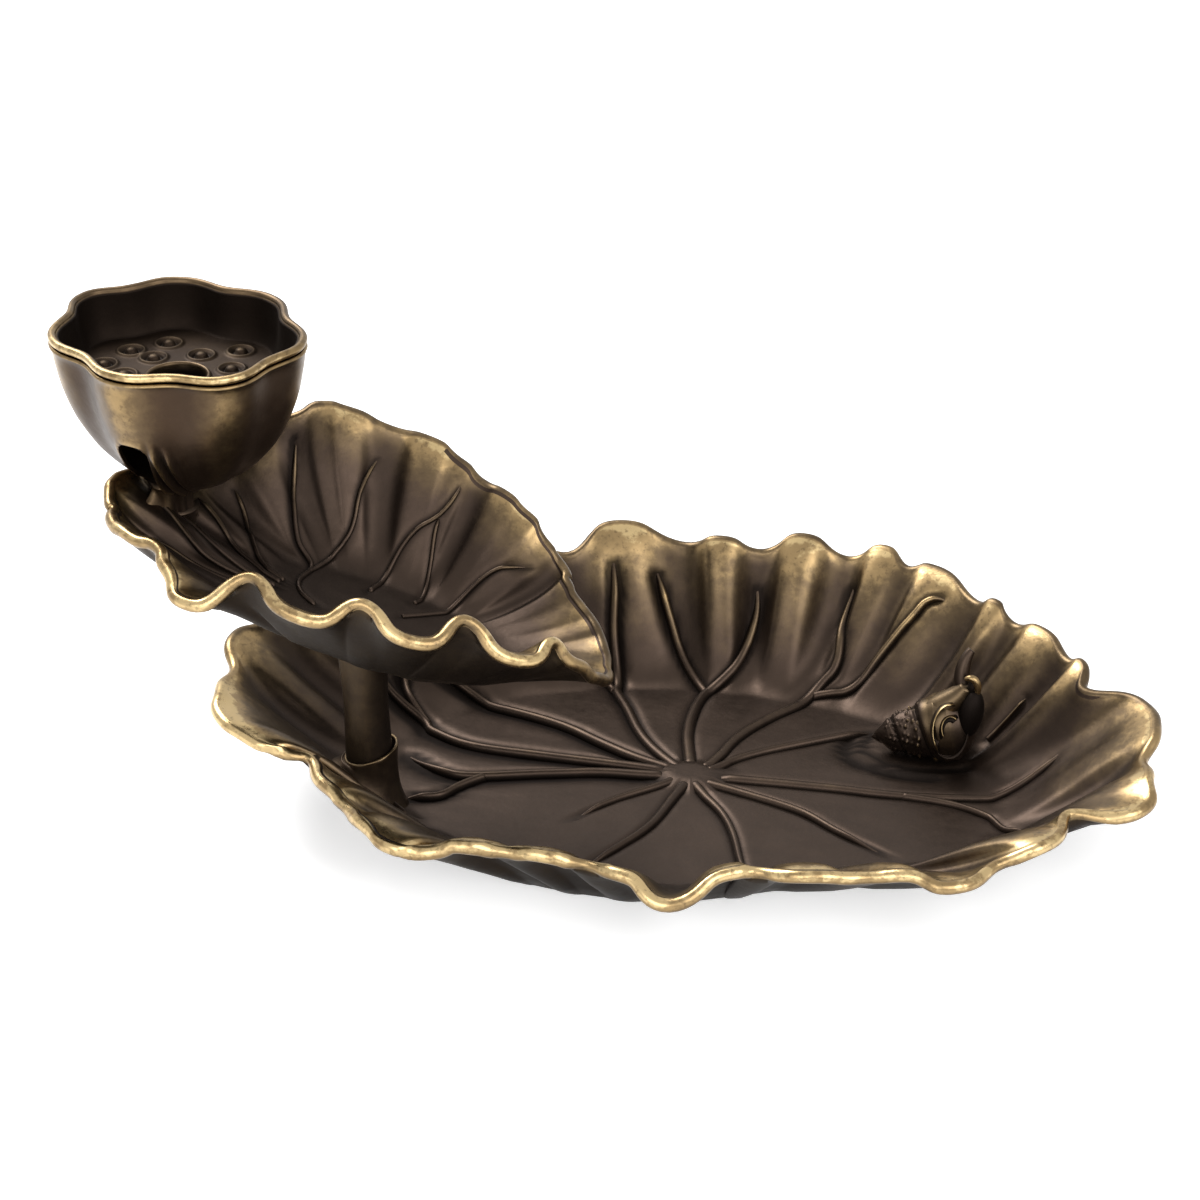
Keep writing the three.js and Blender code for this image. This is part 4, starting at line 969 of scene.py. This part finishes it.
def shellSkin(columns, rows):
    turn = turnsRound(columns)
    foot = pod["floor"]

    def ringAt(reach, height):
        return ring(pod["centre"], turn, reach, height)

    rings = [ringAt(0, foot)]
    for share in (0.35, 0.7, 0.9):
        rings.append(ringAt(podReach(turn, foot) * share, foot - 0.15 * sin(pi * share)))
    outer = slice(len(rings), len(rings) + 40)
    for share in np.linspace(0, 1, 40) ** 1.6:
        height = blend(foot, podShellTop - 0.5, share)
        flare = 0.25 * smooth(height, podShellTop - 1.6, podShellTop - 0.5)
        rings.append(ringAt(podReach(turn, height) + flare - 0.1, height))
    edge = podReach(turn, podShellTop) + 0.15
    for angle in np.radians([15, 45, 75, 90]):
        rings.append(ringAt(edge - 0.4 + 0.4 * cos(angle), podShellTop - 0.5 + 0.5 * sin(angle)))
    chamber = np.linspace(0, 1, 24) ** 1.3 * (podShellTop - foot - pod["floorThickness"])
    for height in podShellTop - chamber[1:]:
        rings.append(ringAt(podReach(turn, height) - pod["wall"], height))
    rings.append(ringAt(0, podShellTop - chamber[-1]))
    points = np.array(rings)

    # folds beside the smoke outlet, and a raised edge round it
    skin = points[outer]
    cast = castRelief(skin, "pod") - 0.12
    across = skin[..., 0] - outlet["centre"]
    height = skin[..., 2]
    front = skin[..., 1] < pod["centre"][1]
    beside = across - outlet["halfWidth"] - 1.8
    low = 1 - smooth(height + 0.6 * beside, 62.5, 65.5)
    flank = peak(beside, outlet["foldWidth"], 4) * low * front
    slant = beside + 0.12 * (height - 58)
    crease = np.cos(slant * 2 * pi / outlet["foldPitch"] + 0.4) * 0.60 + 0.50
    above = np.maximum(height - outlet["spring"], 0) / outlet["crown"]
    square = outlet["square"]
    outside = (np.abs(across / outlet["halfWidth"]) ** square + above**square) ** (1 / square) - 1
    raised = peak(outside * outlet["halfWidth"] - 0.3, 0.4) * front * smooth(height, 53.5, 55)
    normal = unit(skin - np.array([*pod["centre"], pod["rim"]]))
    points[outer] += normal * (cast + flank * crease + outlet["lip"] * raised)[..., None]

    wear = np.zeros(points.shape[:2])
    groove = np.zeros(points.shape[:2])
    rise = (height - foot) / (pod["rim"] - foot)
    # painted shade on the right side, in the notches and towards the foot
    right = smooth(np.cos(turn - radians(-10)), 0.45, 1.0)
    rubbedAndPaintedLight = podPatinaAndPaintedShade["wall"] - podPatinaAndPaintedShade["notch"] * notchAt(turn) ** 0.6
    rubbedAndPaintedLight = rubbedAndPaintedLight - podPatinaAndPaintedShade["right"] * right
    rubbedAndPaintedLight = rubbedAndPaintedLight - podPatinaAndPaintedShade["foot"] * (1 - smooth(rise, 0.15, 0.7))
    rubbedAndPaintedLight = rubbedAndPaintedLight + podPatinaAndPaintedShade["top"] * smooth(rise, 0.93, 0.975) + 0.25 * raised
    # painted highlights on the fold crests and painted shade in the creases between them
    wear[outer] = rubbedAndPaintedLight + flank * (0.75 * smooth(crease, 0.5, 0.95) - 0.20)
    groove[outer] = 0.8 * flank * (1 - smooth(crease, 0.05, 0.35))
    wear[:outer.start] = 0.10
    wear[outer.stop:outer.stop + 4] = podPatinaAndPaintedShade["edge"]
    groove[outer.stop + 4:] = 0.6
    return points, wear, groove


# Seeds stand in rings round the hole, each a dome in a round pit with a raised rim. Those that
# would come nearer to the wall than their room are left out
seedRings = [{"count": 7, "radius": 8.4, "first": 30}, {"count": 13, "radius": 12.8, "first": 30}]
seed = {"radius": 1.0, "height": 0.65, "pit": 1.55, "rim": 2.05, "room": 2.4, "wallInset": 2.7}


def seedRelief(x, y):
    height, paintedHighlight, dark = np.zeros((3, *x.shape))
    floorTop = pod["rim"] - pod["linerDrop"]
    for circle in seedRings:
        for k in range(circle["count"]):
            angle = radians(circle["first"] + 360 * k / circle["count"])
            seedX = circle["radius"] * cos(angle) + pod["holeShift"][0]
            seedY = circle["radius"] * sin(angle) + pod["holeShift"][1]
            wall = podReach(np.array([np.arctan2(seedY, seedX)]), floorTop)[0] - seed["wallInset"]
            if np.hypot(seedX, seedY) + seed["room"] > wall:
                continue
            away = np.hypot(x - seedX, y - seedY)
            dome = np.sqrt(np.clip(1 - (away / seed["radius"]) ** 2, 0, 1)) * seed["height"]
            pit = (1 - smooth(away, seed["pit"] - 0.3, seed["pit"])) * (dome <= 0)
            rim = peak(away - seed["rim"], 0.3)
            height += dome - 0.35 * pit + 0.38 * rim
            # painted highlights on each seed's top and on the rim of its pit
            paintedHighlight += 0.22 * (away < 0.5) + 0.14 * rim
            dark += 0.9 * pit
    return height, paintedHighlight, np.clip(dark, 0, 1)


def linerSkin(columns, rows):
    turn = turnsRound(columns)
    skin = Rings(turn)
    floorTop = pod["rim"] - pod["linerDrop"]
    floorBottom = floorTop - 2
    holeCentre = np.add(pod["centre"], pod["holeShift"])

    def outside(height):
        return podReach(turn, height) - pod["wall"] - pod["linerGap"]

    def wallPoints(reach, height):
        return ring(pod["centre"], turn, reach, height)

    def holePoints(reach, height):
        return ring(holeCentre, turn, reach, height)

    bead = pod["bead"]
    edge = podReach(turn, podShellTop) + 0.15 - bead
    skin.add(holePoints(pod["hole"], floorBottom), 0.05, 0.8)
    for share in (0.3, 0.6, 0.9):
        under = wallPoints(outside(floorBottom), floorBottom)
        skin.add(blend(holePoints(pod["hole"], floorBottom), under, share), 0.05)
    for share in np.linspace(0, 1, 8):
        height = blend(floorBottom, podShellTop + 0.2, share)
        skin.add(wallPoints(outside(height), height), 0.1)
    # the bead is painted lighter in front and on its outer side as painted light
    front = smooth(-np.sin(turn + 0.1), -0.45, 0.35)
    firstBead = len(skin.points)
    for angle in np.radians(np.linspace(-80, 185, 15)):
        points = wallPoints(edge + bead * cos(angle), pod["rim"] - bead + bead * sin(angle))
        skin.add(points, 0.36 + 0.58 * front * (0.6 + 0.4 * max(cos(angle), 0)))
    beads = slice(firstBead, len(skin.points))
    # the bowl's inner wall is painted nearly black as painted shade
    for share in np.linspace(0, 1, 22)[1:] ** 1.2:
        height = blend(pod["rim"] - bead, floorTop, share)
        skin.add(wallPoints(outside(height) - pod["linerWall"] - 0.6 * share**6, height), 0.0, 0.85)
    wallFoot = wallPoints(outside(floorTop) - pod["linerWall"] - 0.6, floorTop)
    for share in np.linspace(0, 1, 62)[1:]:
        points = blend(wallFoot, holePoints(pod["hole"] + 0.8, floorTop), share)
        relief, paintedHighlight, dark = seedRelief(*(points[:, :2] - np.array(pod["centre"])).T)
        points[:, 2] += relief * min((1 - share) * 12, 1)
        skin.add(points, 0.16 + paintedHighlight, 0.58 + 0.4 * dark)
    for angle in np.radians(np.linspace(0, 180, 9)[1:]):
        reach = pod["hole"] + 0.4 + 0.4 * cos(angle)
        skin.add(holePoints(reach, floorTop + 0.55 * sin(angle)), 0.34)
    skin.add(holePoints(pod["hole"], floorBottom + 1), 0.0, 1.0)
    skin.add(holePoints(pod["hole"], floorBottom), 0.05, 0.8)
    points, wear, groove = skin.skin()
    points[beads, :, 2] += (castRelief(points, "liner") - 0.08)[beads]
    return points, wear, groove


shell = bentGrid("podShell", pod["grid"], shellSkin, podBrass)
liner = bentGrid("podLiner", pod["linerGrid"], linerSkin, podBrass)
makePiece([liner], "liner", "pod_liner")


# The mesh that an object has after its modifiers or its bevel
def finalMesh(obj):
    depsgraph = bpy.context.evaluated_depsgraph_get()
    return bpy.data.meshes.new_from_object(obj.evaluated_get(depsgraph))


# Cuts a piece by a closed bmesh and keeps its attributes
def cutPiece(obj, bm):
    bmesh.ops.recalc_face_normals(bm, faces=bm.faces)
    cutter = addObject("cutter", meshFrom(bm, "cutter"))
    modifier = obj.modifiers.new("cut", "BOOLEAN")
    modifier.operation = "DIFFERENCE"
    modifier.solver = "EXACT"
    modifier.object = cutter
    result = finalMesh(obj)
    obj.modifiers.remove(modifier)
    obj.data = result
    bpy.data.objects.remove(cutter)


# The outlet's arch as a bar that runs out through the pod's front
arch = bmesh.new()
bmesh.ops.create_circle(arch, cap_ends=True, segments=48, radius=1.0)
bmesh.ops.rotate(arch, verts=arch.verts, cent=(0, 0, 0), matrix=Matrix.Rotation(pi / 2, 3, "X"))
for vert in arch.verts:
    x, y, z = vert.co
    vert.co.x = np.sign(x) * abs(x) ** (2 / outlet["square"]) * outlet["halfWidth"] * mm
    vert.co.z = z ** (2 / outlet["square"]) * outlet["crown"] * mm if z > 1e-6 else 0
    if z < -1e-6:
        vert.co.z = (outlet["sill"] - outlet["spring"]) * mm
place = Vector((outlet["centre"], pod["centre"][1], outlet["spring"])) * mm
bmesh.ops.translate(arch, verts=arch.verts, vec=place)
swept = bmesh.ops.extrude_face_region(arch, geom=arch.faces[:])
moved = [item for item in swept["geom"] if isinstance(item, bmesh.types.BMVert)]
bmesh.ops.translate(arch, verts=moved, vec=(0, -30 * mm, 0))
cutPiece(shell, arch)
makePiece([shell], "base", "pod_shell")

# Stem, and the sheath that it stands in

stem = {
    "x": -48.3,
    "y": -17.1,
    "foot": 7.5,
    "footRadius": 3.45,
    "topRadius": 3.75,
    "hub": 36.5,
    "topGap": 1.95,
    "topFlare": 0.9,
    "lean": 0.6,
    "wear": 0.20,
    "black": 0.52,
    "grid": (96, 60),
}
sheath = {
    "radius": 5.0,
    "lip": 4.25,
    "foot": 5.9,
    "top": 13.0,
    "wall": 0.5,
    "slope": 0.8,
    "lift": 1.3,
    "depth": 3.0,
    "grid": (128, 45),
}


def stemSkin(columns, rows):
    turn = turnsRound(columns)
    rings = []
    for k in range(rows):
        share = np.clip((k - 1) / (rows - 3), 0, 1)
        height = blend(stem["foot"], stem["hub"] - stem["topGap"], share)
        radius = blend(stem["footRadius"], stem["topRadius"], share) + stem["topFlare"] * share**14
        radius = (radius + 0.12 * sin(3 * share * pi)) * (0 if k in (0, rows - 1) else 1)
        reach = radius * (1 + 0.03 * np.cos(turn * 2 + share * 2) + 0.015 * np.cos(turn * 5))
        slope = -np.tan(radians(upperLeaf["tilt"])) * reach * np.cos(turn) * smooth(share, 0.6, 1.0)
        centre = (stem["x"] - stem["lean"] * share, stem["y"])
        rings.append(ring(centre, turn, reach, height + slope))
    points = np.array(rings)
    # painted shade darkens the rod towards and inside the sheath; the rod is lighter on its
    # front-left side
    black = stem["black"] + 0.2 * smooth(-points[..., 2], -15, -12.5)
    return points, stem["wear"] + 0.12 * np.cos(turn + 2.2), black


def sheathSkin(columns, rows):
    turn = turnsRound(columns)
    skin = Rings(turn)
    curled = np.cos(turn - 0.3)
    lift = sheath["lift"] * curled

    def add(radius, height, rubbedAndPaintedLight):
        skin.add(ring((stem["x"], stem["y"]), turn, radius, height), rubbedAndPaintedLight)

    downhill = np.cos(turn - radians(196))
    foot = np.maximum(sheath["foot"] + sheath["slope"] * (sheath["radius"] + 0.9) * downhill, 1.6)
    add(0, 5.6, 0.1)
    add(sheath["radius"] + 0.8, foot - 0.3, 0.1)
    for share in np.linspace(0, 1, 26):
        height = blend(foot, sheath["top"], share) + lift * smooth(share, 0.5, 1.0)
        radius = blend(sheath["radius"], sheath["lip"], share) + 1.4 * (1 - share) ** 3
        radius = radius - 0.25 * sin(pi * share) + 0.25 * share**7 * curled
        add(radius + 0.06 * np.cos(turn * 7), height, 0.20 + 0.15 * smooth(share, 0.9, 1.0))
    lip = sheath["lip"] + 0.25 * curled
    half = sheath["wall"] / 2
    for angle in np.radians(np.linspace(30, 150, 5)):
        add(lip - half + half * cos(angle), sheath["top"] + lift + half * sin(angle), 0.5)
    for share in np.linspace(0, 1, 12)[1:]:
        height = sheath["top"] + lift * (1 - share) - sheath["depth"] * share
        add(lip - sheath["wall"] - 0.2 * smooth(share, 0, 0.5), height, 0.0)
    add(0, sheath["top"] - sheath["depth"], 0.0)
    return skin.skin()


for name, grid, shape, node in (("stemRod", stem["grid"], stemSkin, "stem"),
                                ("sheath", sheath["grid"], sheathSkin, "stem_socket")):
    makePiece([bentGrid(name, grid, shape, leafBrass)], "base", node)

# Neck: a creased stalk, with a pleat in front that runs down on the leaf

neck = {
    "x": -80.3,
    "y": -7.5,
    "foot": 47.0,
    "radius": 3.1,
    "waist": 2.7,
    # turn, width and reach of each fold of the pleat
    "pleat": [(243.7, 13, 5.6), (272, 12, 1.9)],
    "pleatRise": 3.2,
    "topReach": 1.7,
    "grid": (128, 40),
}


def neckSkin(columns, rows):
    turn = turnsRound(columns)
    degrees = np.degrees(turn)
    folds = [reach * peak(degrees - at, width) for at, width, reach in neck["pleat"]]
    foot = neck["foot"] + neck["pleatRise"] * peak(degrees - neck["pleat"][0][0], 26)
    top = neck["topReach"] * peak(degrees - 254, 34)
    rings = []
    for k in range(rows):
        share = np.clip((k - 1) / (rows - 3), 0, 1)
        radius = blend(neck["waist"], neck["radius"], (2 * share - 1) ** 2)
        reach = radius * (1 + 0.08 * np.cos(turn * 8 + share) + 0.04 * np.cos(turn * 3))
        reach = reach + sum(folds) * (1 - share) ** 1.2 + top * share
        reach = reach * (0 if k in (0, rows - 1) else 1)
        height = blend(foot, pod["floor"] + 0.1, share)
        rings.append(ring((neck["x"], neck["y"]), turn, reach, height))
    # the pleat is painted lighter as painted light and the rest of the stalk darker as painted
    # shade
    folded = np.clip(sum(fold / reach for fold, (_, _, reach) in zip(folds, neck["pleat"])), 0, 1)
    return np.array(rings), 0.12 + 0.30 * folded, 0.45 * (1 - folded)


makePiece([bentGrid("neck", neck["grid"], neckSkin, podBrass)], "base", "pod_neck")

# Snail: a spired shell lying on the leaf, its mouth to the right, with the head curled over it

snail = {
    "tip": (27.8, 13.0, 5.3),
    "length": 17.5,
    "rise": 15,
    # way along the axis and radius there
    "outline": [(0, 0), (0.9, 0.9), (3.2, 2.9), (7.2, 4.3), (9.5, 5.2), (11.5, 6.0), (13.6, 5.9),
                (15.4, 4.6), (16.8, 2.6), (17.5, 0)],
    "depth": 0.76,
    "turns": 4.2,
    "grid": (160, 140),
    "mouth": {
        "centre": (40.7, 8.4, 10.5),
        "across": (0.97, 0.22, 0.0),
        "upward": (-0.09, 0.40, 0.91),
        "halfWidth": 3.1,
        "halfHeight": 4.6,
        "depth": 4.0,
        "grid": (120, 64),
    },
    # a black ball as painted shade on the shadow side of the body, the neck, the dark throat, the
    # curled head and the raised horn
    "soft": [
        {"centre": (43.6, 11.6, 12.2), "size": (2.1, 2.2, 4.4), "turn": 8, "groove": 0.97},
        {"places": [(34.5, 12.9, 8.0), (36.5, 12.8, 10.2), (38.6, 12.7, 11.9), (40.4, 12.6, 13.5),
                    (41.9, 12.4, 15.2), (42.7, 12.1, 16.9)],
         "radii": [1.4, 2.4, 2.6, 2.3, 1.8, 1.0], "wear": 0.40},
        {"centre": (43.7, 11.9, 17.0), "size": (0.85, 0.8, 1.4), "turn": 14, "groove": 0.9},
        {"places": [(42.4, 11.6, 18.5), (43.1, 11.5, 19.0), (44.1, 11.5, 18.6), (44.6, 11.5, 17.2),
                    (44.5, 11.5, 16.0), (44.1, 11.6, 15.0)],
         "radii": [0.3, 0.55, 0.65, 0.65, 0.5, 0.25], "wear": 0.85},
        {"places": [(42.0, 13.4, 16.0), (41.5, 13.8, 18.6), (42.0, 14.4, 20.6), (43.0, 15.0, 22.0)],
         "radii": [1.4, 1.3, 1.1, 0.7], "wear": 0.14},
    ],
}


def snailSpire(columns, rows):
    turn = turnsRound(columns)
    skin = Rings(turn)
    places, radii = np.array(snail["outline"], float).T
    for a in np.linspace(0, 1, rows):
        phase = (snail["turns"] * a**0.8 - turn / (2 * pi)) % 1
        suture = peak(np.minimum(phase, 1 - phase), 0.09)
        beaded = smooth(a, 0.12, 0.2) * (1 - smooth(a, 0.46, 0.52))
        beads = np.clip(np.cos(turn * 17 + 9 * phase) * np.cos(2 * pi * phase * 3), 0, 1) * beaded
        broken = 0.35 + 0.65 * np.sin(turn * 5 + 23 * a) * np.sin(turn * 3 - 31 * a)
        beads = beads * broken.clip(0, 1)
        spiral = 1 - smooth(a, 0.52, 0.62)
        swell = 1 - 0.12 * suture * spiral + 0.14 * beads + 0.04 * np.sin(2 * pi * phase) * spiral
        radius = np.interp(a * snail["length"], places, radii) * swell
        points = np.stack([np.full(columns, a * snail["length"]),
                           radius * np.cos(turn) * snail["depth"], radius * np.sin(turn)], -1)
        # the top of the body whorl is painted lighter as painted light
        body = smooth(a, 0.50, 0.60) * (1 - smooth(a, 0.74, 0.86))
        high = 0.55 + 0.45 * np.sin(turn)
        wear = 0.12 + 0.75 * beads * smooth(a, 0.3, 0.45) + 0.34 * body * high
        skin.add(points, wear, 0.55 * suture * spiral)
    rise = np.array(Matrix.Rotation(radians(-snail["rise"]), 3, "Y"))
    points, wear, groove = skin.skin()
    return points @ rise.T + np.array(snail["tip"]), wear, groove


# The mouth: a disc with a raised lip, a hollow and a curl inside it, closed towards the body. Its
# face is painted black as painted shade, lighter at the lower left, and its closed back is darker
# on the right as painted shade
def snailMouth(columns, rows):
    mouth = snail["mouth"]
    across, upward = np.array(mouth["across"]), np.array(mouth["upward"])
    facing = np.cross(across, upward)
    turn = turnsRound(columns)
    skin = Rings(turn)
    left = smooth(np.cos(turn - radians(150)), -0.15, 0.55)
    mouthWay = 1 - smooth(np.cos(turn - radians(130)), -0.35, 0.35)
    # way out from the centre, way back and width of each ring of the face, then of the closed back
    steps = [(share, 0, 1) for share in np.linspace(0, 1, rows - 4)]
    steps += [(1.0, 0.25, 1), (1.0, 0.8, 0.96), (1.0, 1.0, 0.85), (1.0, 1.0, 0)]
    for share, back, narrow in steps:
        lip = peak(share - 0.93, 0.055) * left
        hollow = smooth(share, 0.50, 0.58) * (1 - smooth(share, 0.80, 0.90)) * left
        curl = peak(share - 0.45 - 0.10 * np.sin(turn), 0.06) * (1 - mouthWay)
        pit = 1 - smooth(share - 0.75 * mouthWay, 0.20, 0.36)
        height = 0.65 * lip - 1.3 * hollow + 0.45 * curl - 1.2 * pit
        height = height - 1.6 * (1 - left) * smooth(share, 0.35, 1.0)
        out = share * narrow
        points = np.array(mouth["centre"])
        points = points + (mouth["halfWidth"] * out * np.cos(turn))[:, None] * across
        points = points + (mouth["halfHeight"] * out * np.sin(turn))[:, None] * upward
        points = points + (height * (back == 0) - back * mouth["depth"])[:, None] * facing
        # painted shade over the face, lighter at the lower left; lip and curl are left lighter
        fill = peak(turn - radians(240), 0.7) * (share > 0.4)
        black = np.clip(0.95 - 0.40 * fill - 1.3 * lip - 1.3 * curl, 0, 1)
        if back == 0:
            skin.add(points, 0.05 + 0.95 * lip + 0.8 * curl, black)
        else:
            skin.add(points, 0.05 + 0.25 * left, 0.7 - 0.5 * left)
    return skin.skin()


# A tube with its own radius at each point, from a curve
def tubeMesh(places, radii):
    curve = bpy.data.curves.new("tube", "CURVE")
    curve.dimensions = "3D"
    curve.bevel_depth = mm
    curve.bevel_resolution = 6
    curve.resolution_u = 12
    curve.use_fill_caps = True
    spline = curve.splines.new("NURBS")
    spline.points.add(len(places) - 1)
    for point, place, radius in zip(spline.points, places, radii):
        point.co = (*(Vector(place) * mm), 1)
        point.radius = radius
    spline.order_u = 4
    spline.use_endpoint_u = True
    holder = addObject("tube", curve)
    mesh = finalMesh(holder)
    bpy.data.objects.remove(holder)
    return mesh


def ballMesh(centre, size, turn):
    bm = bmesh.new()
    bmesh.ops.create_uvsphere(bm, u_segments=32, v_segments=20, radius=1)
    bmesh.ops.scale(bm, vec=Vector(size) * mm, verts=bm.verts)
    turned = Matrix.Rotation(radians(turn), 3, "Y")
    bmesh.ops.rotate(bm, verts=bm.verts, cent=(0, 0, 0), matrix=turned)
    bmesh.ops.translate(bm, vec=Vector(centre) * mm, verts=bm.verts)
    return meshFrom(bm, "ball")


# A tube or a ball of the snail's body, with one value of wear and painted light and one of black
# and painted shade all over it
def softPart(part):
    if "places" in part:
        mesh = tubeMesh(part["places"], part["radii"])
    else:
        mesh = ballMesh(part["centre"], part["size"], part["turn"])
    cleanMesh(mesh)
    addValues(mesh, wear=part.get("wear", 0), groove=part.get("groove", 0))
    mesh.materials.clear()
    mesh.materials.append(leafBrass)
    return addObject("part", mesh)


makePiece([
    bentGrid("snailBody", snail["grid"], snailSpire, leafBrass),
    bentGrid("snailMouth", snail["mouth"]["grid"], snailMouth, leafBrass),
    *(softPart(part) for part in snail["soft"]),
], "base", "snail")

# The screws, the nut and its washer keep their own shape. Smoke has blackened those in the pod
for brass, names in ((screwBrass, ("stem_screw", "snail_screw", "pod_bolt")),
                     (smokedBrass, ("pod_washer", "pod_nut"))):
    for name in names:
        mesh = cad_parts[name].data
        mesh.materials.clear()
        mesh.materials.append(brass)
print("hardware finished")
